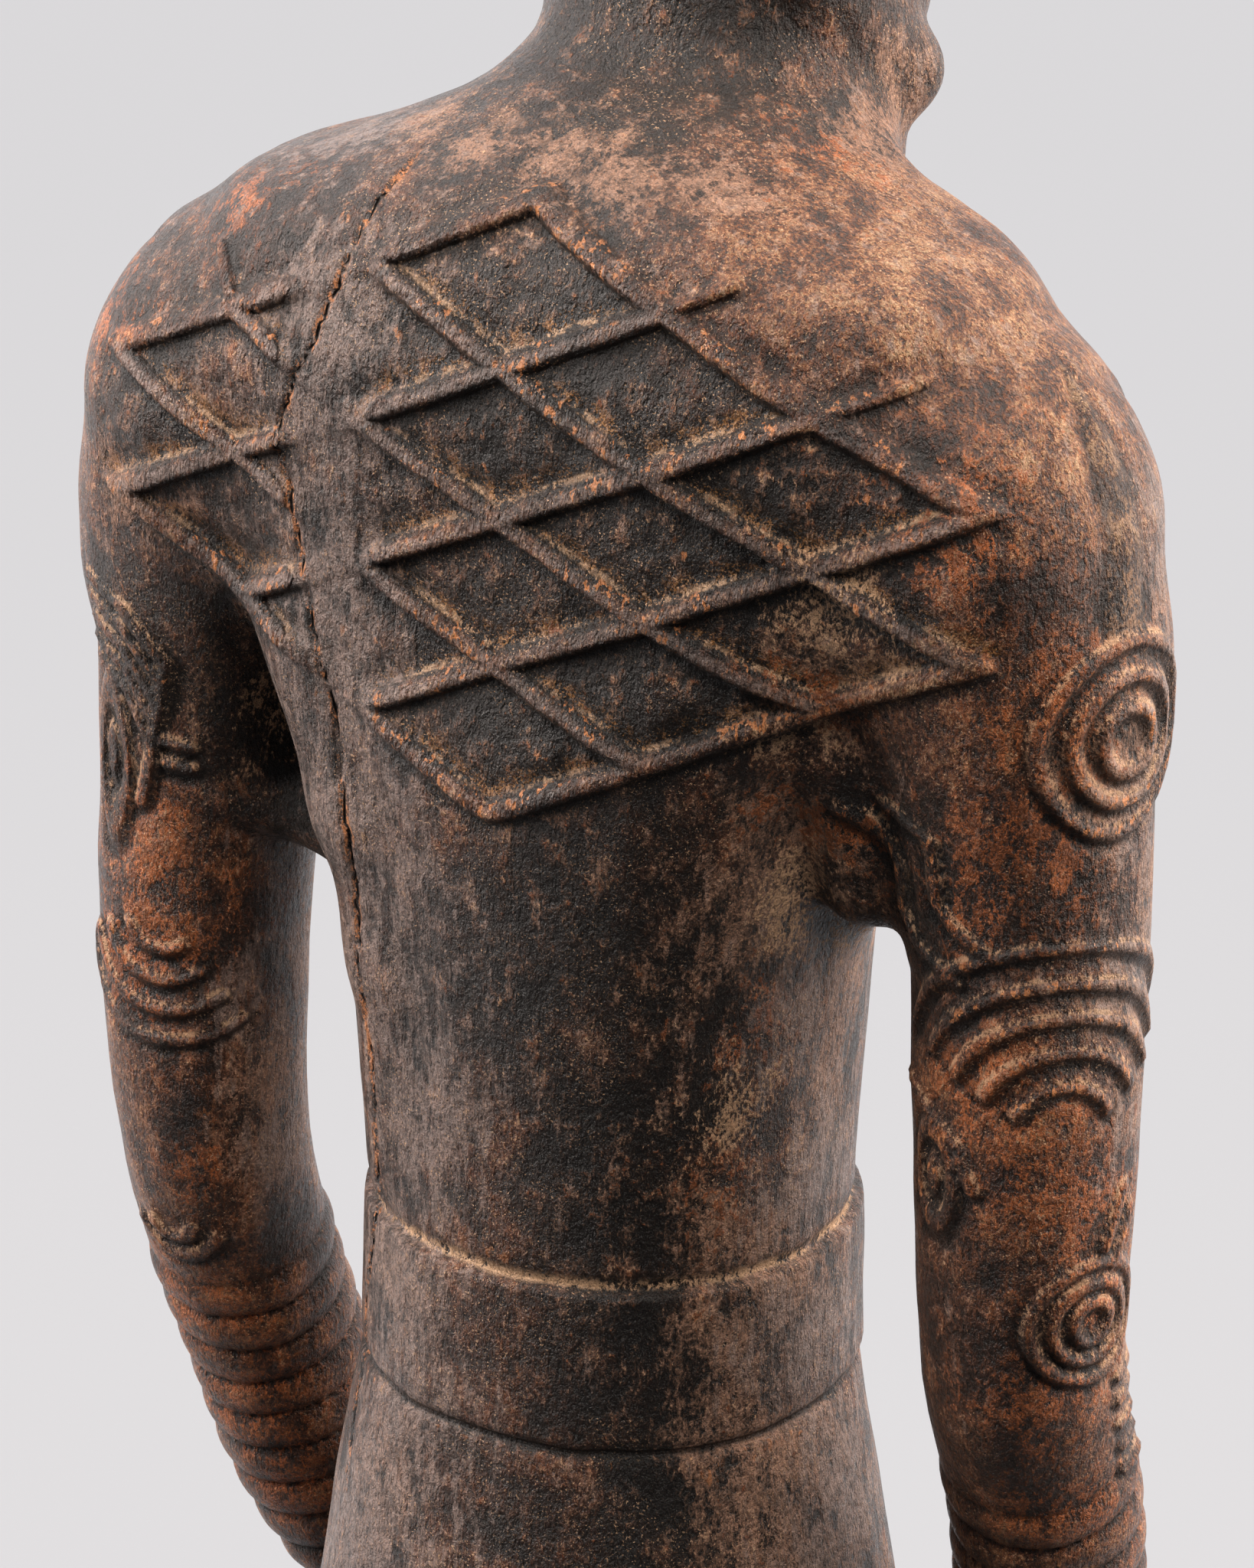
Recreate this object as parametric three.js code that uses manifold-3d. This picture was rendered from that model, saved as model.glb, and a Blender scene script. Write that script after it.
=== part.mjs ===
// Carved wooden standing figure: one log, carved in one piece down to its low oval base.
// Millimetres, +Z up. The figure faces -Y and its right arm is at -X.
// Origin: on the underside, in the middle of the base.

import * as THREE from 'three'
import { mergeVertices } from 'three/addons/utils/BufferGeometryUtils.js'
import Module from 'manifold-3d'

// Driving dimensions
const BASE_HALF_WIDTH = 88
const BASE_HALF_DEPTH = 98
const BASE_HEIGHT = 26
const BASE_EDGE = 3
// Height of the small of the back, which every other height is measured from
const WAIST = 470
// The trunk stands this far behind the middle of the base
const SET_BACK = 16
const BELT_TOP = -87
const BELT_BOTTOM = -121
const BELT_PROUD = 1.3
const HEM = -285
const HEAD_CENTRE = [0, -45, 186]
const HEAD_NOD = THREE.MathUtils.degToRad(7)

// The lozenge net on the back
const NET_APEX = 128.5
const NET_COLUMN = 30.45
const NET_ROW = 14.4
const NET_COLUMNS = 3
// How many lozenge edges long each line of the net is, from its outer end to the apex side
const NET_EDGES = [3, 4, 4, 4, 3]

// The raised lines of the carving, as round bars sunk in the skin
const BAND_RADIUS = 4
const BAND_PROUD = 1.3
const LINE_RADIUS = 2
const LINE_PROUD = 1

// Armlets on the forearms: rings carved side by side
const ARMLET_TOP = -128
const ARMLET_BOTTOM = -214
const ARMLET_PITCH = 10
const ARMLET_DEPTH = 1.3

// Fineness of the sculpting grid and of the finished solid
const GRID = 2.2
const SKIN_TRIANGLES = 5600
const SOLID_TRIANGLES = 9600

// Stations of the trunk: height, half width, middle in y, half depth, squareness
const TRUNK = [
  [-122, 49.5, -1, 49.5, 2.1],
  [-80, 48.5, 0, 46.5, 2.1],
  [-40, 50, 0.5, 47.5, 2.15],
  [-5, 53, 1.5, 49.5, 2.2],
  [20, 58, 1.5, 51, 2.45],
  [45, 72, 1, 49, 3],
  [70, 81, 1.5, 48.5, 3.2],
  [92, 88, 3, 47.5, 3.2],
  [106, 83, 3.5, 44, 3],
  [118, 76, 4, 39.5, 2.7],
  [127, 54, -1, 38, 2.4],
  [135, 38, -13, 36, 2.3],
  [143, 30, -24, 30, 2.2],
]

// Stations of the wrapped waistcloth, from its hem up to the belt
const CLOTH = [
  [HEM, 72, -5, 62, 2.4],
  [-245, 68, -4, 60, 2.4],
  [-200, 62.5, -2, 57, 2.3],
  [-160, 56.5, -0.5, 53, 2.2],
  [-118, 49.5, 0, 49, 2.1],
]

// Stations of an arm, shoulder to wrist: height, distance out, y, radius
const ARM = [
  [45, 90.5, 7.5, 22.5],
  [-10, 91.5, 6, 22.6],
  [-60, 93.3, 6.5, 21.3],
  [-100, 93.2, 3, 19.8],
  [-130, 93.5, -8, 19],
  [-157, 92, -18.5, 18.8],
  [-190, 88, -29.5, 18],
  [-222, 80, -42, 14],
]

// Stations of a leg, thigh to heel: height, distance out, y, radius
const LEG = [
  [-270, 31, -6, 29],
  [-325, 34, -14, 24],
  [-362, 35, -4, 22],
  [-420, 36, 6, 14.5],
  [-438, 37, 9, 14],
]

// Value at h from rows of stations by a smooth curve through them
function along(rows, h, column) {
  const up = rows[0][0] < rows[rows.length - 1][0]
  const row = (k) => (up ? rows[k] : rows[rows.length - 1 - k])
  const last = rows.length - 1
  let i = 0
  while (i < last - 1 && h > row(i + 1)[0]) i += 1
  const slope = (k) => {
    const a = row(Math.max(k - 1, 0))
    const b = row(Math.min(k + 1, last))
    return (b[column] - a[column]) / (b[0] - a[0])
  }
  const span = row(i + 1)[0] - row(i)[0]
  const t = THREE.MathUtils.clamp((h - row(i)[0]) / span, 0, 1)
  const t2 = t * t
  const t3 = t2 * t
  return (2 * t3 - 3 * t2 + 1) * row(i)[column] + (t3 - 2 * t2 + t) * span * slope(i)
    + (3 * t2 - 2 * t3) * row(i + 1)[column] + (t3 - t2) * span * slope(i + 1)
}

// A place given from the small of the back, with y forward of or behind the trunk's axis
function place(x, y, h) {
  return [x, SET_BACK + y, WAIST + h]
}

// Forms. Each has a box, low to high, and a signed distance that is negative inside.

function ellipsoid(centre, radii, nod = 0) {
  const cos = Math.cos(nod)
  const sin = Math.sin(nod)
  const reach = nod === 0 ? radii : [radii[0], Math.max(...radii), Math.max(...radii)]
  return {
    low: centre.map((c, i) => c - reach[i]),
    high: centre.map((c, i) => c + reach[i]),
    distance(x, y, z) {
      const dx = (x - centre[0]) / radii[0]
      const dy = y - centre[1]
      const dz = z - centre[2]
      const u = (dy * cos + dz * sin) / radii[1]
      const v = (dz * cos - dy * sin) / radii[2]
      const size = Math.hypot(dx, u, v)
      const steep = Math.hypot(dx / radii[0], u / radii[1], v / radii[2]) + 1e-6
      return (size * (size - 1)) / steep
    },
  }
}

function limb(a, b, radiusA, radiusB) {
  const ab = b.map((v, i) => v - a[i])
  const length2 = ab[0] ** 2 + ab[1] ** 2 + ab[2] ** 2
  const widest = Math.max(radiusA, radiusB)
  return {
    low: a.map((v, i) => Math.min(v, b[i]) - widest),
    high: a.map((v, i) => Math.max(v, b[i]) + widest),
    distance(x, y, z) {
      const px = x - a[0]
      const py = y - a[1]
      const pz = z - a[2]
      const t = THREE.MathUtils.clamp((px * ab[0] + py * ab[1] + pz * ab[2]) / length2, 0, 1)
      const across = Math.hypot(px - t * ab[0], py - t * ab[1], pz - t * ab[2])
      return across - (radiusA + (radiusB - radiusA) * t)
    },
  }
}

// A stack of rounded oblongs from rows of stations, with its two ends rounded off
function stack(rows, edge = 6) {
  const bottom = rows[0][0]
  const top = rows[rows.length - 1][0]
  const halfWidth = Math.max(...rows.map((r) => r[1]))
  let level = NaN
  let a = 0
  let middle = 0
  let b = 0
  let n = 2
  return {
    low: place(-halfWidth, Math.min(...rows.map((r) => r[2] - r[3])), bottom),
    high: place(halfWidth, Math.max(...rows.map((r) => r[2] + r[3])), top),
    distance(x, y, z) {
      if (z !== level) {
        level = z
        const h = z - WAIST
        a = along(rows, h, 1)
        middle = along(rows, h, 2) + SET_BACK
        b = along(rows, h, 3)
        n = along(rows, h, 4)
      }
      const u = Math.abs(x) / a
      const v = Math.abs(y - middle) / b
      const size = (u ** n + v ** n + 1e-9) ** (1 / n)
      const steep = Math.hypot(u ** (n - 1) / a, v ** (n - 1) / b) * size ** (1 - n) + 1e-4
      const side = (size - 1) / steep
      const end = Math.max(bottom + WAIST - z, z - top - WAIST)
      if (side > -edge && end > -edge) return Math.hypot(side + edge, end + edge) - edge
      return Math.max(side, end)
    },
  }
}

// The part of a form that lies on the far side of a plane
function trimmed(form, point, normal) {
  return {
    low: form.low,
    high: form.high,
    distance(x, y, z) {
      const beyond = (x - point[0]) * normal[0] + (y - point[1]) * normal[1] + (z - point[2]) * normal[2]
      return Math.max(form.distance(x, y, z), beyond)
    },
  }
}

// A block of space on a regular grid, which forms are added to and carved from
class Clay {
  constructor(low, high, step) {
    this.low = low
    this.step = step
    this.size = low.map((v, i) => Math.ceil((high[i] - v) / step) + 1)
    this.values = new Float32Array(this.size[0] * this.size[1] * this.size[2]).fill(40)
  }

  index(i, j, k) {
    return (k * this.size[1] + j) * this.size[0] + i
  }

  // Joins a form over a soft seam of the given width; a carved form is taken away instead
  blend(form, seam = 0, carve = false) {
    const pad = seam + 6
    const from = form.low.map((v, i) => Math.max(0, Math.floor((v - pad - this.low[i]) / this.step)))
    const to = form.high.map((v, i) => (
      Math.min(this.size[i] - 1, Math.ceil((v + pad - this.low[i]) / this.step))))
    const sign = carve ? -1 : 1
    for (let k = from[2]; k <= to[2]; k += 1) {
      const z = this.low[2] + k * this.step
      for (let j = from[1]; j <= to[1]; j += 1) {
        const y = this.low[1] + j * this.step
        for (let i = from[0]; i <= to[0]; i += 1) {
          const at = this.index(i, j, k)
          const a = this.values[at] * sign
          const b = form.distance(this.low[0] + i * this.step, y, z)
          const overlap = Math.max(seam - Math.abs(a - b), 0)
          const softened = seam > 0 ? (overlap * overlap) / (4 * seam) : 0
          this.values[at] = (Math.min(a, b) - softened) * sign
        }
      }
    }
  }

  carve(form, seam) {
    this.blend(form, seam, true)
  }

  // Fills in wherever the inside would touch itself only along an edge or at a corner
  knit() {
    const { values } = this
    const [nx, ny, nz] = this.size
    const steps = [1, nx, nx * ny]
    const diagonal = steps[0] + steps[1] + steps[2]
    const fill = (at) => {
      values[at] = -0.02 * this.step
      return true
    }
    let changed = true
    while (changed) {
      changed = false
      for (let at = 0; at < nx * ny * (nz - 1) - nx - 1; at += 1) {
        for (let axis = 0; axis < 3; axis += 1) {
          const u = steps[(axis + 1) % 3]
          const v = steps[(axis + 2) % 3]
          const here = values[at] < 0
          if (here !== values[at + u + v] < 0 || here === values[at + u] < 0) continue
          if (here === values[at + v] < 0) continue
          changed = fill(here ? at + u : at)
        }
        for (const corner of [0, ...steps]) {
          const a = at + corner
          const b = at + diagonal - corner
          if (values[a] < 0 !== values[b] < 0) continue
          const others = [0, ...steps, ...steps.map((s) => diagonal - s), diagonal]
            .filter((s) => at + s !== a && at + s !== b)
          if (others.some((s) => values[at + s] < 0 === values[a] < 0)) continue
          changed = fill(values[a] < 0 ? at + others[0] : a)
        }
      }
    }
  }

  // Distance at any point, between the grid's points
  at(x, y, z) {
    const q = [x, y, z].map((v, i) => (
      THREE.MathUtils.clamp((v - this.low[i]) / this.step, 0, this.size[i] - 1.001)))
    const [i, j, k] = q.map(Math.floor)
    let sum = 0
    for (let c = 0; c < 8; c += 1) {
      const [di, dj, dk] = [c & 1, (c >> 1) & 1, c >> 2]
      const wx = di ? q[0] - i : 1 - q[0] + i
      const wy = dj ? q[1] - j : 1 - q[1] + j
      const wz = dk ? q[2] - k : 1 - q[2] + k
      sum += wx * wy * wz * this.values[this.index(i + di, j + dj, k + dk)]
    }
    return sum
  }

  // First point of the skin met from a point outside it, looking along a direction
  skin(from, direction) {
    const point = from.clone()
    for (let n = 0; n < 400 && this.at(point.x, point.y, point.z) > 0.01; n += 1) {
      const room = this.at(point.x, point.y, point.z)
      point.addScaledVector(direction, Math.max(0.8 * Math.min(room, 6), 0.01))
    }
    return point
  }
}

// A limb that swells and bends along its stations
function shapeLimb(clay, rows, side, seam) {
  const top = rows[0][0]
  const bottom = rows[rows.length - 1][0]
  const steps = Math.round((top - bottom) / 8)
  const station = (k) => {
    const h = top + ((bottom - top) * k) / steps
    return [place(side * along(rows, h, 1), along(rows, h, 2), h), along(rows, h, 3)]
  }
  for (let k = 0; k < steps; k += 1) {
    const [a, radiusA] = station(k)
    const [b, radiusB] = station(k + 1)
    clay.blend(limb(a, b, radiusA, radiusB), k === 0 ? seam : 0)
  }
}

// A place on the waistcloth, by its angle from the side towards the back, and a height
function hip(side, degrees, h, out) {
  const level = Math.max(h, HEM)
  const [a, middle, b, n] = [1, 2, 3, 4].map((column) => along(CLOTH, level, column))
  const angle = THREE.MathUtils.degToRad(degrees)
  const cos = Math.cos(angle)
  const sin = Math.sin(angle)
  const outward = Math.hypot(cos / a, sin / b)
  const x = a * Math.abs(cos) ** (2 / n) + (out * cos) / a / outward
  const y = b * Math.sign(sin) * Math.abs(sin) ** (2 / n) + (out * sin) / b / outward
  return place(side * x, middle + y, h)
}

function shapeTrunk(clay) {
  clay.blend(stack(TRUNK))
  for (const side of [-1, 1]) {
    clay.blend(limb(place(side * 80, 9, 68), place(side * 90, 7, -8), 29.5, 22), 16)
    clay.blend(ellipsoid(place(side * 79, 6.5, 72), [29, 33, 37]), 12)
    clay.blend(limb(place(side * 58, -8, -4), place(side * 86, -2, 20), 12, 14), 14)
    clay.blend(ellipsoid(place(side * 32, -34, 62), [34, 19, 28]), 18)
  }
  // The back spreads to the left arm, and that armpit is cut less deep than the right one
  clay.blend(limb(place(24, 22, -75), place(27, 25, -30), 17, 17), 5)
  clay.blend(limb(place(27, 25, -30), place(33, 27, 2), 17, 18), 5)
  clay.blend(limb(place(33, 27, 2), place(45, 26, 38), 18, 20), 5)
  clay.blend(limb(place(54, 12, -15), place(76, 9, -11), 9, 9), 12)
  // The right armpit is a shallow hollow
  clay.blend(limb(place(-60, 21, 27), place(-61, 15, -1), 10, 8), 8)
  // The shoulder blade ends in an edge under the net's lowest band
  clay.blend(limb(place(91, 31, 56.5), place(75, 32, 49), 4.5, 5), 3)
  clay.blend(limb(place(75, 32, 49), place(61, 34.5, 42.1), 5, 5), 3)
  clay.blend(limb(place(61, 34.5, 42.1), place(44, 42, 34), 5, 4.5), 3)
}

function shapeArm(clay, side) {
  shapeLimb(clay, ARM, side, 14)
  const wrist = place(side * 79, -43, -220)
  for (let finger = 0; finger < 4; finger += 1) {
    const knuckle = hip(side, -26 - 9 * finger, -256, 5.5)
    const tip = hip(side, -27 - 8.2 * finger, -291 + 2.2 * Math.abs(finger - 1.2), 4.6)
    clay.blend(limb(wrist, knuckle, 11, 6.2), 5)
    clay.blend(limb(knuckle, tip, 5.4, 4.2), 1.2)
  }
  const thumbRoot = place(side * 68, -58, -238)
  clay.blend(limb(wrist, thumbRoot, 10, 6), 5)
  clay.blend(limb(thumbRoot, hip(side, -62, -266, 4.6), 5.6, 4.3), 2)
}

// A place in the head's own frame: x to its left, y behind, z up from its middle
function headPlace(x, y, z) {
  const cos = Math.cos(HEAD_NOD)
  const sin = Math.sin(HEAD_NOD)
  const [cx, cy, ch] = HEAD_CENTRE
  return place(cx + x, cy + y * cos - z * sin, ch + z * cos + y * sin)
}

function shapeHead(clay) {
  clay.blend(limb(place(0, -34, 122), place(0, -44, 180), 36.5, 33), 10)
  clay.blend(ellipsoid(headPlace(0, 6, 15), [42, 50, 47], HEAD_NOD), 7)
  clay.blend(ellipsoid(headPlace(0, -7, -13), [35, 38, 42], HEAD_NOD), 10)
  clay.blend(ellipsoid(headPlace(0, -10, -36), [30, 31, 20], HEAD_NOD), 8)
  for (const side of [-1, 1]) {
    // Rim of the jaw, cheek, eye under its brow, nostril and ear
    const jaw = headPlace(side * 32, -8, -47.5)
    clay.blend(limb(headPlace(side * 26, 24, -25), jaw, 5, 7), 7)
    clay.blend(limb(jaw, headPlace(side * 13, -33, -58), 7, 7), 6)
    clay.blend(ellipsoid(headPlace(side * 22, -28, -11), [12, 12, 10]), 14)
    clay.carve(ellipsoid(headPlace(side * 16.5, -49, 0), [12, 7.5, 7.5]), 7)
    clay.blend(limb(headPlace(side * 6, -41.5, 11.5), headPlace(side * 17, -41, 14), 2.4, 2.6), 9)
    clay.blend(limb(headPlace(side * 17, -41, 14), headPlace(side * 29, -32.5, 9.5), 2.6, 2), 9)
    clay.blend(ellipsoid(headPlace(side * 16.5, -37.8, 0.5), [9.5, 6.2, 5.8]), 1.5)
    clay.blend(ellipsoid(headPlace(side * 5.6, -47.5, -21.5), [4.4, 5.5, 4]), 3.5)
    clay.blend(ellipsoid(headPlace(side * 42, 7, -6), [4.5, 9, 15], -0.1), 3)
    clay.carve(ellipsoid(headPlace(side * 47, 5, -5), [4, 5.5, 10.5], -0.1), 2)
  }
  // Nose, lips and chin
  clay.blend(limb(headPlace(0, -43, 9), headPlace(0, -53, -18.5), 3.4, 5.2), 5)
  clay.blend(ellipsoid(headPlace(0, -40, -33.6), [13.5, 7.5, 4], HEAD_NOD), 3.5)
  clay.blend(ellipsoid(headPlace(0, -39, -40.2), [11, 8, 4.4], HEAD_NOD), 3.5)
  clay.blend(ellipsoid(headPlace(0, -38, -56), [13, 8.5, 8]), 9)
  // The close cap of hair, with a slanting edge from the brow to the nape
  const crown = ellipsoid(headPlace(0, 8.5, 17.5), [45, 50.5, 48], HEAD_NOD)
  clay.blend(trimmed(crown, headPlace(0, 0, 24), [0, -0.5, -0.866]), 1)
}

function shapeBeltAndCloth(clay) {
  const [, waist, , depth] = TRUNK[0]
  clay.blend(stack([
    [BELT_BOTTOM, waist + BELT_PROUD, -1, depth + BELT_PROUD - 0.4, 2.1],
    [BELT_TOP, waist + BELT_PROUD - 0.8, -0.4, depth + BELT_PROUD - 2, 2.1],
  ], 1.2))
  clay.blend(stack(CLOTH, 3.5))
}

function shapeLeg(clay, side) {
  shapeLimb(clay, LEG, side, 4)
  clay.blend(limb(place(side * 37, 12, -438), place(side * 41, -40, -443), 14, 13), 8)
  clay.blend(limb(place(side * 37, -44, -446), place(side * 50, -40, -446), 10, 9), 6)
  for (let toe = 0; toe < 5; toe += 1) {
    const root = place(side * (34 + 5.2 * toe), -46 + 1.5 * Math.abs(toe - 1), -446)
    const tip = place(side * (34 + 5.6 * toe), -56 + 3 * toe, -446.5)
    clay.blend(limb(root, tip, 5.4 - 0.5 * toe, 4.6 - 0.5 * toe), 2)
  }
}

// Skin of the clay: one point in each cell that the surface passes, one quad for each
// grid edge that it crosses
function skinOf(clay) {
  const [nx, ny, nz] = clay.size
  const inside = (i, j, k) => clay.values[clay.index(i, j, k)] < 0
  const cellPoint = new Int32Array(nx * ny * nz).fill(-1)
  const points = []
  const corner = (c) => [c & 1, (c >> 1) & 1, c >> 2]
  const offsets = [0, 1, 2, 3, 4, 5, 6, 7].map((c) => clay.index(...corner(c)))
  for (let k = 0; k < nz - 1; k += 1) {
    for (let j = 0; j < ny - 1; j += 1) {
      for (let i = 0; i < nx - 1; i += 1) {
        const first = clay.index(i, j, k)
        let within = 0
        for (const offset of offsets) if (clay.values[first + offset] < 0) within += 1
        if (within === 0 || within === 8) continue
        const values = offsets.map((offset) => clay.values[first + offset])
        const sum = [0, 0, 0]
        let crossings = 0
        for (let c = 0; c < 8; c += 1) {
          for (let axis = 0; axis < 3; axis += 1) {
            const d = c | (1 << axis)
            if (d === c || (values[c] < 0) === (values[d] < 0)) continue
            const at = corner(c)
            at[axis] = values[c] / (values[c] - values[d])
            for (let m = 0; m < 3; m += 1) sum[m] += at[m]
            crossings += 1
          }
        }
        cellPoint[clay.index(i, j, k)] = points.length / 3
        const cell = [i, j, k]
        for (let m = 0; m < 3; m += 1) {
          points.push(clay.low[m] + clay.step * (cell[m] + sum[m] / crossings))
        }
      }
    }
  }
  const triangles = []
  const steps = [[1, 0, 0], [0, 1, 0], [0, 0, 1]]
  for (let k = 1; k < nz - 1; k += 1) {
    for (let j = 1; j < ny - 1; j += 1) {
      for (let i = 1; i < nx - 1; i += 1) {
        const here = inside(i, j, k)
        for (let axis = 0; axis < 3; axis += 1) {
          const [si, sj, sk] = steps[axis]
          if (here === inside(i + si, j + sj, k + sk)) continue
          const u = steps[(axis + 1) % 3]
          const v = steps[(axis + 2) % 3]
          const cell = (du, dv) => cellPoint[clay.index(
            i - du * u[0] - dv * v[0], j - du * u[1] - dv * v[1], k - du * u[2] - dv * v[2])]
          const quad = [cell(1, 1), cell(0, 1), cell(0, 0), cell(1, 0)]
          if (!here) quad.reverse()
          triangles.push(quad[0], quad[1], quad[2], quad[0], quad[2], quad[3])
        }
      }
    }
  }
  return { points, triangles }
}

// A heap that gives its cheapest entry first
class Heap {
  constructor() {
    this.entries = []
  }

  push(entry) {
    const { entries } = this
    let i = entries.push(entry) - 1
    while (i > 0) {
      const parent = (i - 1) >> 1
      if (entries[parent].cost <= entry.cost) break
      entries[i] = entries[parent]
      i = parent
    }
    entries[i] = entry
  }

  pop() {
    const { entries } = this
    const top = entries[0]
    const entry = entries.pop()
    if (entries.length === 0) return top
    let i = 0
    for (;;) {
      let child = 2 * i + 1
      if (child >= entries.length) break
      if (child + 1 < entries.length && entries[child + 1].cost < entries[child].cost) child += 1
      if (entries[child].cost >= entry.cost) break
      entries[i] = entries[child]
      i = child
    }
    entries[i] = entry
    return top
  }
}

// Merges the two ends of one edge after another, always where the surface changes least
function simplified({ points, triangles }, target) {
  const count = points.length / 3
  const faces = []
  const facesOf = Array.from({ length: count }, () => [])
  const quadrics = Array.from({ length: count }, () => new Float64Array(10))
  const version = new Int32Array(count)
  const point = (v) => new THREE.Vector3(points[3 * v], points[3 * v + 1], points[3 * v + 2])
  const normalOf = (a, b, c) => b.clone().sub(a).cross(c.clone().sub(a))
  const addPlane = (quadric, n, d, weight) => {
    const p = [n.x, n.y, n.z, d]
    let m = 0
    for (let r = 0; r < 4; r += 1) {
      for (let s = r; s < 4; s += 1) {
        quadric[m] += weight * p[r] * p[s]
        m += 1
      }
    }
  }
  for (let t = 0; t < triangles.length; t += 3) {
    const face = [triangles[t], triangles[t + 1], triangles[t + 2]]
    const [a, b, c] = face.map(point)
    const normal = normalOf(a, b, c)
    const area = normal.length() / 2
    normal.normalize()
    for (const v of face) {
      facesOf[v].push(faces.length)
      addPlane(quadrics[v], normal, -normal.dot(a), area)
    }
    faces.push(face)
  }
  const costAt = (q, p) => q[0] * p.x * p.x + 2 * q[1] * p.x * p.y + 2 * q[2] * p.x * p.z
    + 2 * q[3] * p.x + q[4] * p.y * p.y + 2 * q[5] * p.y * p.z + 2 * q[6] * p.y
    + q[7] * p.z * p.z + 2 * q[8] * p.z + q[9]
  const matrix = new THREE.Matrix3()
  const plan = (a, b) => {
    const q = quadrics[a].map((v, i) => v + quadrics[b][i])
    const ends = [point(a), point(b)]
    const middle = ends[0].clone().lerp(ends[1], 0.5)
    // A light pull to the middle keeps the new point near in flat places
    const pull = 1e-3 * (q[0] + q[4] + q[7]) + 1e-9
    matrix.set(q[0] + pull, q[1], q[2], q[1], q[4] + pull, q[5], q[2], q[5], q[7] + pull)
    const best = new THREE.Vector3(
      pull * middle.x - q[3], pull * middle.y - q[6], pull * middle.z - q[8])
    const sound = Math.abs(matrix.determinant()) > 1e-12
    if (sound) best.applyMatrix3(matrix.invert())
    const far = ends[0].distanceTo(ends[1]) * 1.5
    const to = sound && best.distanceTo(middle) < far ? best : middle
    const cost = Math.max(costAt(q, to), 0) + 1e-7 * ends[0].distanceToSquared(ends[1])
    return { cost, a, b, to, stamp: version[a] + version[b] }
  }
  const heap = new Heap()
  const neighbours = (v) => {
    const around = new Set()
    for (const f of facesOf[v]) for (const w of faces[f]) if (w !== v) around.add(w)
    return around
  }
  for (let v = 0; v < count; v += 1) {
    for (const w of neighbours(v)) if (w > v) heap.push(plan(v, w))
  }
  const turnsOver = (v, other, to) => facesOf[v].some((f) => {
    const face = faces[f]
    if (face.includes(other)) return false
    const before = face.map(point)
    const after = before.map((p, i) => (face[i] === v ? to : p))
    const was = normalOf(...before)
    const now = normalOf(...after)
    const longest = Math.max(after[0].distanceToSquared(after[1]),
      after[1].distanceToSquared(after[2]), after[2].distanceToSquared(after[0]))
    const thin = now.length() < 0.03 * longest && now.length() < was.length()
    return thin || now.dot(was) < 0.25 * now.length() * was.length()
  })
  let left = faces.length
  while (left > target && heap.entries.length > 0) {
    const { a, b, to, stamp } = heap.pop()
    if (facesOf[a].length === 0 || facesOf[b].length === 0) continue
    if (version[a] + version[b] !== stamp) continue
    const around = neighbours(b)
    const shared = [...neighbours(a)].filter((v) => around.has(v))
    if (!around.has(a) || shared.length !== 2) continue
    if (turnsOver(a, b, to) || turnsOver(b, a, to)) continue
    points[3 * a] = to.x
    points[3 * a + 1] = to.y
    points[3 * a + 2] = to.z
    for (let i = 0; i < 10; i += 1) quadrics[a][i] += quadrics[b][i]
    for (const f of facesOf[b]) {
      const face = faces[f]
      if (face.includes(a)) {
        for (const v of face) if (v !== b) facesOf[v] = facesOf[v].filter((g) => g !== f)
        left -= 1
      } else {
        face[face.indexOf(b)] = a
        facesOf[a].push(f)
      }
    }
    facesOf[b] = []
    version[b] += 1
    version[a] += 1
    for (const v of neighbours(a)) version[v] += 1
    const changed = new Set([a, ...neighbours(a)])
    for (const v of changed) {
      for (const w of neighbours(v)) if (!changed.has(w) || w > v) heap.push(plan(v, w))
    }
  }
  const kept = new Set(facesOf.flat())
  return { points, triangles: [...kept].flatMap((f) => faces[f]) }
}

// Joins and cuts on closed meshes
const wasm = await Module()
wasm.setup()

function solidOf(geometry) {
  const bare = geometry.clone()
  bare.deleteAttribute('normal')
  bare.deleteAttribute('uv')
  const merged = mergeVertices(bare, 1e-4)
  const corners = []
  for (let t = 0; t < merged.index.count; t += 3) {
    const triangle = [0, 1, 2].map((n) => merged.index.getX(t + n))
    if (new Set(triangle).size === 3) corners.push(...triangle)
  }
  return new wasm.Manifold(new wasm.Mesh({
    numProp: 3,
    vertProperties: new Float32Array(merged.attributes.position.array),
    triVerts: new Uint32Array(corners),
  }))
}

function geometryOf({ points, triangles }) {
  const geometry = new THREE.BufferGeometry()
  geometry.setAttribute('position', new THREE.Float32BufferAttribute(points, 3))
  geometry.setIndex(triangles)
  return geometry
}

function meshOf(solid) {
  const mesh = solid.getMesh()
  const points = []
  for (let v = 0; v < mesh.vertProperties.length; v += mesh.numProp) {
    points.push(mesh.vertProperties[v], mesh.vertProperties[v + 1], mesh.vertProperties[v + 2])
  }
  return { points, triangles: [...mesh.triVerts] }
}

// A round bar along points of the skin, sunk so that only its crest stands proud
function bar(points, radius, closed, spacing) {
  const path = new THREE.CatmullRomCurve3(points, closed)
  const steps = Math.max(3, Math.round(path.getLength() / spacing))
  if (closed) return solidOf(new THREE.TubeGeometry(path, 2 * steps, radius, 8, true))
  const section = new THREE.Shape().absarc(0, 0, radius, 0, 2 * Math.PI)
  const geometry = new THREE.ExtrudeGeometry(section, {
    steps, extrudePath: path, curveSegments: 8, bevelEnabled: false,
  })
  return solidOf(geometry)
}

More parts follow.
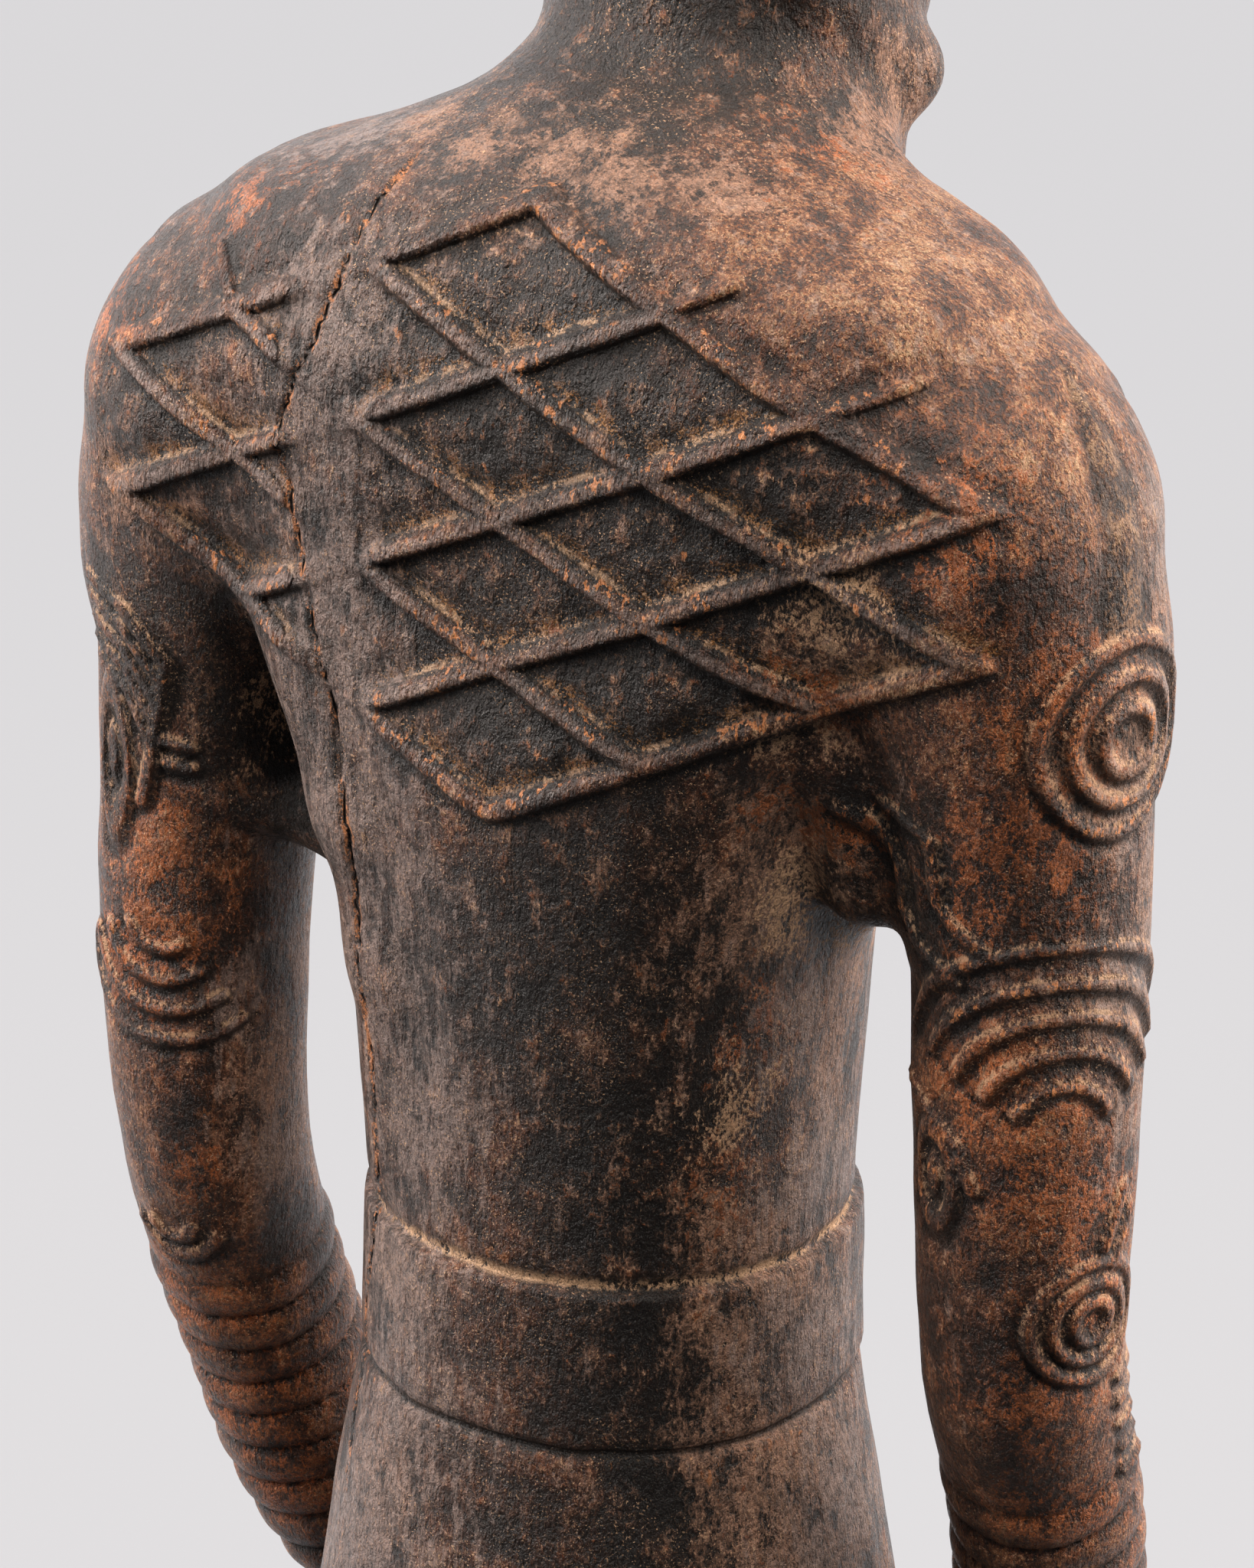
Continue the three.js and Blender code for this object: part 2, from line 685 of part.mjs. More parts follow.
// The bands of the net, straight lines across the back from one lozenge corner to the next
function netBands(clay) {
  const back = new THREE.Vector3(0, -1, 0)
  const crossing = (column, row) => {
    const [x, , z] = place(column * NET_COLUMN, 0, NET_APEX - row * NET_ROW)
    return new THREE.Vector3(x, 0, z)
  }
  const onBack = (p) => {
    const found = clay.skin(new THREE.Vector3(p.x, SET_BACK + 75, p.z), back)
    found.y -= BAND_RADIUS - BAND_PROUD
    return found
  }
  const bands = []
  for (let line = 0; line < NET_EDGES.length; line += 1) {
    for (const side of [-1, 1]) {
      const startColumn = Math.min(line, NET_COLUMNS)
      const startRow = line <= NET_COLUMNS ? line : NET_COLUMNS + 2
      const points = []
      for (let n = 0; n <= 4 * NET_EDGES[line]; n += 1) {
        const a = crossing(side * (startColumn - n / 4), startRow + n / 4)
        points.push(onBack(a))
      }
      bands.push(bar(points, BAND_RADIUS, false, 8))
    }
  }
  return bands
}

// A place on an arm's skin: angle from straight out towards the back, height, depth below it
function armPoint(clay, side, degrees, h, depth) {
  const angle = THREE.MathUtils.degToRad(degrees)
  const centre = new THREE.Vector3(
    ...place(side * along(ARM, h, 1), along(ARM, h, 2), h))
  const outward = new THREE.Vector3(side * Math.cos(angle), Math.sin(angle), 0)
  const found = clay.skin(centre.clone().addScaledVector(outward, 50), outward.clone().negate())
  return found.addScaledVector(outward, -depth)
}

// Rings or arcs about one place on the arm, stretched upwards by a factor
function armArcs(clay, side, degrees, h, radii, tall, from, to) {
  const turn = THREE.MathUtils.radToDeg(1 / along(ARM, h, 3))
  const whole = to - from >= 360
  return radii.map((radius) => {
    const count = Math.max(8, Math.round((radius * (to - from)) / 180))
    const points = []
    for (let n = 0; n < (whole ? count : count + 1); n += 1) {
      const at = THREE.MathUtils.degToRad(from + ((to - from) * n) / count)
      points.push(armPoint(clay, side, degrees + radius * Math.cos(at) * turn,
        h + radius * tall * Math.sin(at), LINE_RADIUS - LINE_PROUD))
    }
    return bar(points, LINE_RADIUS, whole, 5)
  })
}

// A bent line through places on the arm, each an angle and a height
function armLine(clay, side, stops) {
  const points = stops.map(([degrees, h]) => (
    armPoint(clay, side, degrees, h, LINE_RADIUS - LINE_PROUD)))
  return bar(points, LINE_RADIUS, false, 5)
}

function armMarks(clay) {
  const right = -1
  const left = 1
  const marks = [
    ...armArcs(clay, right, 22, 39, [5.6, 11, 16.6], 1.08, 0, 360),
    ...armArcs(clay, right, 47, -40, [17, 24, 31, 38], 1, 25, 155),
    ...armArcs(clay, right, 25, -82, [4.4, 8.8, 13.2], 1, 0, 360),
    ...armArcs(clay, right, 118, -53, [5], 2, 0, 360),
    ...armArcs(clay, left, 98, -38, [8, 15, 22, 29], 1, 205, 305),
    ...armArcs(clay, left, 88, -112, [5, 10], 1, 200, 340),
    ...armArcs(clay, left, 65, -6, [4], 3.4, 0, 360),
  ]
  for (const step of [0, 1]) {
    marks.push(armLine(clay, right, [
      [138 - 18 * step, 20 + 4 * step], [113 - 14 * step, 16.5 + 3 * step],
      [113 - 14 * step, 2 + 6 * step], [84 - 2 * step, -8 + 8 * step],
    ]))
  }
  for (const step of [0, 1, 2]) {
    marks.push(armLine(clay, left, [
      [60 - 2 * step, 33 - 6 * step], [84, 30 - 7 * step], [104 - 3 * step, 19 - 7 * step],
      [92 - 2 * step, -4 - 4 * step],
    ]))
  }
  return marks
}

// Armlets: rings side by side round each forearm, square to its slope
function armlets() {
  const rings = []
  for (const side of [-1, 1]) {
    for (let h = ARMLET_TOP; h >= ARMLET_BOTTOM; h -= ARMLET_PITCH) {
      const radius = along(ARM, h, 3)
      const ring = new THREE.TorusGeometry(radius - 2, 2 + ARMLET_DEPTH, 5, 20)
      const centre = new THREE.Vector3(
        ...place(side * along(ARM, h, 1), along(ARM, h, 2), h))
      const below = new THREE.Vector3(
        ...place(side * along(ARM, h - 1, 1), along(ARM, h - 1, 2), h - 1))
      const slope = below.sub(centre).normalize()
      ring.applyQuaternion(
        new THREE.Quaternion().setFromUnitVectors(new THREE.Vector3(0, 0, 1), slope))
      ring.translate(centre.x, centre.y, centre.z)
      rings.push(solidOf(ring))
    }
  }
  return rings
}

// The low base, turned and then stretched to an oval, reaching a little below the cut
function base() {
  const below = 2
  const profile = [
    new THREE.Vector2(0, -below),
    new THREE.Vector2(1, -below),
    new THREE.Vector2(1, BASE_HEIGHT - BASE_EDGE),
    new THREE.Vector2(1 - BASE_EDGE / BASE_HALF_DEPTH, BASE_HEIGHT),
    new THREE.Vector2(0, BASE_HEIGHT),
  ]
  const turned = new THREE.LatheGeometry(profile, 48)
  turned.rotateX(Math.PI / 2)
  turned.scale(BASE_HALF_WIDTH, BASE_HALF_DEPTH, 1)
  return solidOf(turned)
}

function figure() {
  const clay = new Clay([-126, -112, 6], [126, 90, 734], GRID)
  shapeTrunk(clay)
  shapeHead(clay)
  shapeBeltAndCloth(clay)
  for (const side of [-1, 1]) {
    shapeArm(clay, side)
    shapeLeg(clay, side)
  }
  clay.knit()
  let solid = solidOf(geometryOf(simplified(skinOf(clay), SKIN_TRIANGLES)))
  for (const piece of [base(), ...netBands(clay), ...armMarks(clay), ...armlets()]) {
    solid = solid.add(piece)
  }
  const clean = solidOf(geometryOf(simplified(meshOf(solid), SOLID_TRIANGLES)))
  const ground = new THREE.BoxGeometry(400, 400, 40)
  ground.translate(0, 0, -20)
  return geometryOf(meshOf(clean.subtract(solidOf(ground))))
}

const wood = new THREE.MeshStandardMaterial({ color: 0x3b2a20, roughness: 0.55, metalness: 0 })
const carved = new THREE.Mesh(figure(), wood)
carved.name = 'figure'

const part = new THREE.Group()
part.add(carved)

export default part
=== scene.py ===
# The carved wooden figure: its whole skin with the fine carving, the old wood, the light and the view.
# The carving is worked out in millimetres and turned into metres when the mesh is made.
import math

import bpy
import numpy as np
from mathutils import Matrix, Vector


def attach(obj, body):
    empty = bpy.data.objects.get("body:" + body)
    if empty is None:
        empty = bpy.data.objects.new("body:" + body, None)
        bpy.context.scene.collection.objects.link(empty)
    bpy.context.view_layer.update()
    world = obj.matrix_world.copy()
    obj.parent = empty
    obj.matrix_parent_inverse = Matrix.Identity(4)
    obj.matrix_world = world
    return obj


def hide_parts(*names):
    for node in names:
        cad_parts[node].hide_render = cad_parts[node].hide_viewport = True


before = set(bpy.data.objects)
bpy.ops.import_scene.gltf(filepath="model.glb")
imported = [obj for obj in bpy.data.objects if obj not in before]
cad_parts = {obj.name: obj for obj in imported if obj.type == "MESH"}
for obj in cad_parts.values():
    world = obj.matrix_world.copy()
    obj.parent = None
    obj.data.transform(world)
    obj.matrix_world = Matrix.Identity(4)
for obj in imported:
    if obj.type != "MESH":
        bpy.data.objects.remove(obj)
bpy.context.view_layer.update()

# Main sizes, the same as the solid's
WAIST = 470.0
SET_BACK = 16.0
BASE_HALF_WIDTH = 88.0
BASE_HALF_DEPTH = 98.0
BASE_HEIGHT = 26.0
BELT_TOP = -87.0
BELT_BOTTOM = -121.0
BELT_PROUD = 1.3
HEM = -285.0
HEAD_CENTRE = (0.0, -45.0, 186.0)
HEAD_NOD = math.radians(7)

# The lozenge net on the back
NET_APEX = 128.5
NET_COLUMN = 30.45
NET_ROW = 14.4
NET_REACH = 8
NET_SPREAD = 6.4
BAND_HALF = 2.3
BAND_PROUD = 1.0
FIELD_DEPTH = 0.9
# Bands that run on past the net's corners: both ends, each as x and height
NET_STUBS = (
    ((-30.5, 114.1), (-42, 120)),
    ((-60.9, 99.7), (-76, 105.7)),
    ((60.9, 99.7), (67.6, 108.4)),
)
# The worn strip along the crack: its middle and half its width
STRIP_X = 37.5
STRIP_HALF = 8.5

# Armlets on the forearms
ARMLET_TOP = -128.0
ARMLET_BOTTOM = -214.0
ARMLET_PITCH = 10.0

# What counts as skin of the arm, in radii from its axis, and the place given to all else
SHOULDER_LIMIT = 1.75
ARM_LIMIT = 1.35
NOT_ON_ARM = 500

# Fineness of the sculpting grid, of the limbs' curves and of the finished mesh
GRID = 1.1
LIMB_STEP = 8
SKIN_TRIANGLES = 196000
# How far apart slopes are measured, how far a hollow is felt for, and what stands for far away
SLOPE_REACH = 2.0
HOLLOW_REACH = 9
FAR = 30

# Random values: how many there are, and what scatters the corners of a grid over them
TABLE_SIZE = 4096
SCATTER = (73856093, 19349663, 83492791)

# Stations of the trunk: height, half width, middle in y, half depth, squareness
TRUNK = (
    (-122, 49.5, -1, 49.5, 2.1),
    (-80, 48.5, 0, 46.5, 2.1),
    (-40, 50, 0.5, 47.5, 2.15),
    (-5, 53, 1.5, 49.5, 2.2),
    (20, 58, 1.5, 51, 2.45),
    (45, 72, 1, 49, 3),
    (70, 81, 1.5, 48.5, 3.2),
    (92, 88, 3, 47.5, 3.2),
    (106, 83, 3.5, 44, 3),
    (118, 76, 4, 39.5, 2.7),
    (127, 54, -1, 38, 2.4),
    (135, 38, -13, 36, 2.3),
    (143, 30, -24, 30, 2.2),
)

# Stations of the wrapped waistcloth, from its hem up to the belt
CLOTH = (
    (HEM, 72, -5, 62, 2.4),
    (-245, 68, -4, 60, 2.4),
    (-200, 62.5, -2, 57, 2.3),
    (-160, 56.5, -0.5, 53, 2.2),
    (-118, 49.5, 0, 49, 2.1),
)

# Stations of an arm, shoulder to wrist: height, distance out, y, radius
ARM = (
    (45, 90.5, 7.5, 22.5),
    (-10, 91.5, 6, 22.6),
    (-60, 93.3, 6.5, 21.3),
    (-100, 93.2, 3, 19.8),
    (-130, 93.5, -8, 19),
    (-157, 92, -18.5, 18.8),
    (-190, 88, -29.5, 18),
    (-222, 80, -42, 14),
)

# Stations of a leg, thigh to heel: height, distance out, y, radius
LEG = (
    (-270, 31, -6, 29),
    (-325, 34, -14, 24),
    (-362, 35, -4, 22),
    (-420, 36, 6, 14.5),
    (-438, 37, 9, 14),
)


def along(rows, h, column):
    """Value at height h from rows of stations, by a smooth curve through them."""
    rows = np.array(sorted(rows), float)
    heights = rows[:, 0]
    values = rows[:, column]
    slopes = np.empty(len(rows))
    slopes[1:-1] = (values[2:] - values[:-2]) / (heights[2:] - heights[:-2])
    slopes[0] = (values[1] - values[0]) / (heights[1] - heights[0])
    slopes[-1] = (values[-1] - values[-2]) / (heights[-1] - heights[-2])
    i = np.clip(np.searchsorted(heights, h) - 1, 0, len(rows) - 2)
    span = heights[i + 1] - heights[i]
    t = np.clip((h - heights[i]) / span, 0, 1)
    t2 = t * t
    t3 = t2 * t
    return ((2 * t3 - 3 * t2 + 1) * values[i] + (t3 - 2 * t2 + t) * span * slopes[i]
            + (3 * t2 - 2 * t3) * values[i + 1] + (t3 - t2) * span * slopes[i + 1])


def place(x, y, h):
    """A place given from the small of the back, with y from the trunk's axis."""
    return np.array([x, SET_BACK + y, WAIST + h], float)


# Forms: each is its lowest corner, its highest corner and a distance that is negative inside

def ellipsoid(centre, radii, nod=0.0):
    centre = np.array(centre, float)
    radii = np.array(radii, float)
    cos = math.cos(nod)
    sin = math.sin(nod)
    reach = radii if nod == 0 else np.array([radii[0], radii.max(), radii.max()])

    def distance(x, y, z):
        dx = (x - centre[0]) / radii[0]
        dy = y - centre[1]
        dz = z - centre[2]
        u = (dy * cos + dz * sin) / radii[1]
        v = (dz * cos - dy * sin) / radii[2]
        size = np.sqrt(dx ** 2 + u ** 2 + v ** 2)
        steep = np.sqrt((dx / radii[0]) ** 2 + (u / radii[1]) ** 2 + (v / radii[2]) ** 2) + 1e-6
        return size * (size - 1) / steep

    return centre - reach, centre + reach, distance


def limb(a, b, radius_a, radius_b):
    a = np.array(a, float)
    b = np.array(b, float)
    ab = b - a
    widest = max(radius_a, radius_b)

    def distance(x, y, z):
        px = x - a[0]
        py = y - a[1]
        pz = z - a[2]
        t = np.clip((px * ab[0] + py * ab[1] + pz * ab[2]) / (ab @ ab), 0, 1)
        across = np.sqrt((px - t * ab[0]) ** 2 + (py - t * ab[1]) ** 2 + (pz - t * ab[2]) ** 2)
        return across - (radius_a + (radius_b - radius_a) * t)

    return np.minimum(a, b) - widest, np.maximum(a, b) + widest, distance


def stack(rows, edge=6.0):
    """A form through rows of stations, with its two ends rounded off."""
    rows = sorted(rows)
    bottom = rows[0][0] + WAIST
    top = rows[-1][0] + WAIST
    half_width = max(row[1] for row in rows)

    def distance(x, y, z):
        h = z.ravel() - WAIST
        a, middle, b, n = [along(rows, h, c).astype(np.float32)[None, None, :] for c in (1, 2, 3, 4)]
        u = np.abs(x) / a
        v = np.abs(y - middle - SET_BACK) / b
        size = (u ** n + v ** n + 1e-9) ** (1 / n)
        steep = np.hypot(u ** (n - 1) / a, v ** (n - 1) / b) * size ** (1 - n) + 1e-4
        side = np.clip((size - 1) / steep, -60, 60)
        end = np.maximum(bottom - z, z - top) + 0 * side
        rounded = np.hypot(np.maximum(side + edge, 0), np.maximum(end + edge, 0)) - edge
        return np.where((side > -edge) & (end > -edge), rounded, np.maximum(side, end))

    low = place(-half_width, min(r[2] - r[3] for r in rows), rows[0][0])
    high = place(half_width, max(r[2] + r[3] for r in rows), rows[-1][0])
    return low, high, distance


def trimmed(form, point, normal):
    """The part of a form that lies on the far side of a plane."""
    low, high, inner = form

    def distance(x, y, z):
        beyond = (x - point[0]) * normal[0] + (y - point[1]) * normal[1] + (z - point[2]) * normal[2]
        return np.maximum(inner(x, y, z), beyond)

    return low, high, distance


# The eight corners of a cell of the grid
CORNERS = [(c & 1, (c >> 1) & 1, c >> 2) for c in range(8)]


class Clay:
    """A block of space on a regular grid, which forms are added to and carved from."""

    def __init__(self, low, high, step):
        self.low = np.array(low, float)
        self.step = step
        self.size = np.ceil((np.array(high) - self.low) / step).astype(int) + 1
        self.values = np.full(self.size, 40.0, np.float32)

    def blend(self, form, seam=0.0, sign=1):
        """Joins a form over a soft seam of the given width, or carves it away with sign -1."""
        low, high, distance = form
        pad = seam + 6
        first = np.maximum(0, np.floor((low - pad - self.low) / self.step)).astype(int)
        last = np.minimum(self.size, np.ceil((high + pad - self.low) / self.step) + 1).astype(int)
        if np.any(last <= first):
            return
        window = tuple(slice(a, b) for a, b in zip(first, last))
        x, y, z = [(self.low[i] + self.step * np.arange(first[i], last[i])).astype(np.float32)
                   for i in range(3)]
        b = distance(x[:, None, None], y[None, :, None], z[None, None, :])
        a = self.values[window] * sign
        joined = np.minimum(a, b)
        if seam > 0:
            joined = joined - np.maximum(seam - np.abs(a - b), 0) ** 2 / (4 * seam)
        self.values[window] = joined * sign

    def at(self, points):
        """Distance at any points, between the grid's points."""
        q = np.clip((points - self.low) / self.step, 0, self.size - 1.001)
        i = np.floor(q).astype(int)
        f = q - i
        total = np.zeros(len(points))
        for d in np.array(CORNERS):
            weight = np.prod(np.where(d == 1, f, 1 - f), axis=1)
            total += weight * self.values[tuple((i + d).T)]
        return total

    def slope(self, points, reach):
        """Unit direction in which the distance grows fastest."""
        found = np.empty_like(points)
        for axis in range(3):
            shift = np.zeros(3)
            shift[axis] = reach
            found[:, axis] = self.at(points + shift) - self.at(points - shift)
        return found / (np.linalg.norm(found, axis=1, keepdims=True) + 1e-9)


def chain(clay, stops, seam, where=place, sign=1):
    """Adds or carves a bent limb through stops, each a place and the radius there."""
    for a, b in zip(stops[:-1], stops[1:]):
        clay.blend(limb(where(*a[:3]), where(*b[:3]), a[3], b[3]), seam, sign)


def shape_limb(clay, rows, side, seam):
    """An arm or a leg, which has a soft seam where it leaves the trunk."""
    top = rows[0][0]
    bottom = rows[-1][0]
    heights = np.linspace(top, bottom, round((top - bottom) / LIMB_STEP) + 1)
    out, back, radii = [along(rows, heights, column) for column in (1, 2, 3)]
    stops = list(zip(side * out, back, heights, radii))
    chain(clay, stops[:2], seam)
    chain(clay, stops[1:], 0)


def hip(side, degrees, h, out):
    """A place on the waistcloth, by its angle from the side towards the back, and a height."""
    level = np.array(max(h, HEM))
    a, middle, b, n = [float(along(CLOTH, level, column)) for column in (1, 2, 3, 4)]
    cos = math.cos(math.radians(degrees))
    sin = math.sin(math.radians(degrees))
    outward = math.hypot(cos / a, sin / b)
    x = a * abs(cos) ** (2 / n) + out * cos / a / outward
    y = b * math.copysign(abs(sin) ** (2 / n), sin) + out * sin / b / outward
    return place(side * x, middle + y, h)


def shape_trunk(clay):
    clay.blend(stack(TRUNK))
    for side in (-1, 1):
        # Shoulder with its round cap, fold before the armpit, and chest
        chain(clay, ((side * 80, 9, 68, 29.5), (side * 90, 7, -8, 22)), 16)
        clay.blend(ellipsoid(place(side * 79, 6.5, 72), (29, 33, 37)), 12)
        chain(clay, ((side * 58, -8, -4, 12), (side * 86, -2, 20, 14)), 14)
        clay.blend(ellipsoid(place(side * 32, -34, 62), (34, 19, 28)), 18)
    # The back spreads to the left arm, and that armpit is cut less deep than the right one
    chain(clay, ((24, 22, -75, 17), (27, 25, -30, 17), (33, 27, 2, 18), (45, 26, 38, 20)), 5)
    chain(clay, ((54, 12, -15, 9), (76, 9, -11, 9)), 12)
    # The right armpit is a shallow hollow
    chain(clay, ((-60, 21, 27, 10), (-61, 15, -1, 8)), 8)
    # The shoulder blade ends in an edge under the net's lowest band
    chain(clay, ((91, 31, 56.5, 4.5), (75, 32, 49, 5), (61, 34.5, 42.1, 5), (44, 42, 34, 4.5)), 3)


def shape_arm(clay, side):
    shape_limb(clay, ARM, side, 14)
    wrist = place(side * 79, -43, -220)
    for finger in range(4):
        knuckle = hip(side, -26 - 9 * finger, -256, 5.5)
        tip = hip(side, -27 - 8.2 * finger, -291 + 2.2 * abs(finger - 1.2), 4.6)
        clay.blend(limb(wrist, knuckle, 11, 6.2), 5)
        clay.blend(limb(knuckle, tip, 5.4, 4.2), 1.2)
    thumb_root = place(side * 68, -58, -238)
    clay.blend(limb(wrist, thumb_root, 10, 6), 5)
    clay.blend(limb(thumb_root, hip(side, -62, -266, 4.6), 5.6, 4.3), 2)


def head_place(x, y, z):
    """A place in the head's own frame: x to its left, y behind, z up from its middle."""
    cos = math.cos(HEAD_NOD)
    sin = math.sin(HEAD_NOD)
    cx, cy, ch = HEAD_CENTRE
    return place(cx + x, cy + y * cos - z * sin, ch + z * cos + y * sin)


def lump(clay, centre, radii, seam, nod=0.0, sign=1):
    clay.blend(ellipsoid(head_place(*centre), radii, nod), seam, sign)


def shape_head(clay):
    chain(clay, ((0, -34, 122, 36.5), (0, -44, 180, 33)), 10)
    lump(clay, (0, 6, 15), (42, 50, 47), 7, HEAD_NOD)
    lump(clay, (0, -7, -13), (35, 38, 42), 10, HEAD_NOD)
    lump(clay, (0, -10, -36), (30, 31, 20), 8, HEAD_NOD)
    for side in (-1, 1):
        # Rim of the jaw, cheek, eye under its brow and lid, nostril and ear
        jaw = (side * 32, -8, -47.5, 7)
        chain(clay, ((side * 26, 24, -25, 5), jaw), 7, head_place)
        chain(clay, (jaw, (side * 13, -33, -58, 7)), 6, head_place)
        lump(clay, (side * 22, -28, -11), (12, 12, 10), 14)
        lump(clay, (side * 16.5, -49, 0), (12, 7.5, 7.5), 7, 0.0, -1)
        brow = ((side * 6, -41.5, 11.5, 2.4), (side * 17, -41, 14, 2.6), (side * 29, -32.5, 9.5, 2))
        chain(clay, brow, 9, head_place)
        lump(clay, (side * 16.5, -37.6, 0), (9.5, 6.2, 5.4), 1.5)
        lid = ((side * 8, -41, 0.5, 1.2), (side * 16.5, -41.4, 4.6, 1.6), (side * 25.5, -37, 0, 1.2))
        chain(clay, lid, 2, head_place)
        lump(clay, (side * 5.6, -47.5, -21.5), (4.4, 5.5, 4), 3.5)
        lump(clay, (side * 42, 7, -6), (4.5, 9, 15), 3, -0.1)
        lump(clay, (side * 47, 5, -5), (4, 5.5, 10.5), 2, -0.1, -1)
    # Nose, lips and chin
    chain(clay, ((0, -43, 9, 3.4), (0, -53, -18.5, 5.2)), 5, head_place)
    lump(clay, (0, -40, -33.6), (13.5, 7.5, 4), 3.5, HEAD_NOD)
    lump(clay, (0, -39, -40.2), (11, 8, 4.4), 3.5, HEAD_NOD)
    for side in (-1, 1):
        chain(clay, ((side * 12.5, -44.5, -36.6, 0.8), (0, -47.5, -36.6, 1.2)), 2, head_place, -1)
    lump(clay, (0, -38, -56), (13, 8.5, 8), 9)
    # The close cap of hair, with a slanting edge from the brow to the nape
    crown = ellipsoid(head_place(0, 8.5, 17.5), (45, 50.5, 48), HEAD_NOD)
    clay.blend(trimmed(crown, head_place(0, 0, 24), (0, -0.5, -0.866)), 1)


def shape_belt_and_cloth(clay):
    waist = TRUNK[0][1]
    depth = TRUNK[0][3]
    clay.blend(stack((
        (BELT_BOTTOM, waist + BELT_PROUD, -1, depth + BELT_PROUD - 0.4, 2.1),
        (BELT_TOP, waist + BELT_PROUD - 0.8, -0.4, depth + BELT_PROUD - 2, 2.1),
    ), 1.2))
    clay.blend(stack(CLOTH, 3.5))


def shape_leg(clay, side):
    shape_limb(clay, LEG, side, 4)
    chain(clay, ((side * 37, 12, -438, 14), (side * 41, -40, -443, 13)), 8)
    chain(clay, ((side * 37, -44, -446, 10), (side * 50, -40, -446, 9)), 6)
    for toe in range(5):
        root = (side * (34 + 5.2 * toe), -46 + 1.5 * abs(toe - 1), -446, 5.4 - 0.5 * toe)
        tip = (side * (34 + 5.6 * toe), -56 + 3 * toe, -446.5, 4.6 - 0.5 * toe)
        chain(clay, (root, tip), 2)


def shape_base(clay):
    bottom = -WAIST
    top = BASE_HEIGHT - WAIST
    clay.blend(stack((
        (bottom, BASE_HALF_WIDTH, -SET_BACK, BASE_HALF_DEPTH, 2),
        (top, BASE_HALF_WIDTH, -SET_BACK, BASE_HALF_DEPTH, 2),
    ), 2.5), 1.5)


def skin_of(clay):
    """One point in each cell that the surface passes, one square for each grid edge it crosses."""
    values = clay.values
    inside = values < 0
    nx, ny, nz = values.shape
    count = np.zeros((nx - 1, ny - 1, nz - 1), np.uint8)
    for i, j, k in CORNERS:
        count += inside[i:nx - 1 + i, j:ny - 1 + j, k:nz - 1 + k]
    cells = np.argwhere((count > 0) & (count < 8))
    number = np.full(count.shape, -1, np.int32)
    number[tuple(cells.T)] = np.arange(len(cells))
    at = {c: values[cells[:, 0] + c[0], cells[:, 1] + c[1], cells[:, 2] + c[2]] for c in CORNERS}
    total = np.zeros((len(cells), 3))
    crossings = np.zeros(len(cells))
    for corner in CORNERS:
        for axis in range(3):
            if corner[axis] == 1:
                continue
            other = tuple(1 if n == axis else v for n, v in enumerate(corner))
            a = at[corner]
            b = at[other]
            crossed = (a < 0) != (b < 0)
            spot = np.tile(np.array(corner, float), (len(cells), 1))
            spot[crossed, axis] += a[crossed] / (a[crossed] - b[crossed])
            total[crossed] += spot[crossed]
            crossings += crossed
    points = clay.low + clay.step * (cells + total / crossings[:, None])
    quads = []
    for axis in range(3):
        near = [slice(1, -1)] * 3
        far = [slice(1, -1)] * 3
        near[axis] = slice(0, -1)
        far[axis] = slice(1, None)
        a = inside[tuple(near)]
        b = inside[tuple(far)]
        offset = [0 if n == axis else 1 for n in range(3)]
        u = (axis + 1) % 3
        v = (axis + 2) % 3
        for leaving in (True, False):
            edges = np.argwhere(a & ~b if leaving else ~a & b) + offset
            ring = []
            for du, dv in ((1, 1), (0, 1), (0, 0), (1, 0)):
                cell = edges.copy()
                cell[:, u] -= du
                cell[:, v] -= dv
                ring.append(number[cell[:, 0], cell[:, 1], cell[:, 2]])
            quads.append(np.stack(ring if leaving else ring[::-1], axis=1))
    return points, np.concatenate(quads)


def figure_clay(step):
    clay = Clay((-130, -112, -5), (130, 112, 740), step)
    shape_trunk(clay)
    shape_head(clay)
    shape_belt_and_cloth(clay)
    for side in (-1, 1):
        shape_arm(clay, side)
        shape_leg(clay, side)
    shape_base(clay)
    return clay


def uneven(points, size, seed, stretch=1.0):
    """Smooth random values from -1 to 1 over a size in mm, stretched upright."""
    table = np.random.default_rng(seed).uniform(-1, 1, TABLE_SIZE)
    q = points / (size * np.array([1, 1, stretch]))
    i = np.floor(q).astype(np.int64)
    f = q - i
    f = f * f * (3 - 2 * f)
    total = np.zeros(len(points))
    for d in np.array(CORNERS):
        key = np.bitwise_xor.reduce((i + d) * SCATTER, axis=1) % TABLE_SIZE
        total += np.prod(np.where(d == 1, f, 1 - f), axis=1) * table[key]
    return total


def soft_step(value, start, end):
    """From 0 at start to 1 at end, easing in and out."""
    t = np.clip((value - start) / (end - start), 0, 1)
    return t * t * (3 - 2 * t)


def to_segments(spots, stops):
    """Distance from each spot to a line through the stops."""
    best = np.full(len(spots), np.inf)
    for a, b in zip(stops[:-1], stops[1:]):
        a = np.array(a, float)
        ab = np.array(b, float) - a
        t = np.clip((spots - a) @ ab / (ab @ ab), 0, 1)
        best = np.minimum(best, np.linalg.norm(spots - a - t[:, None] * ab, axis=1))
    return best


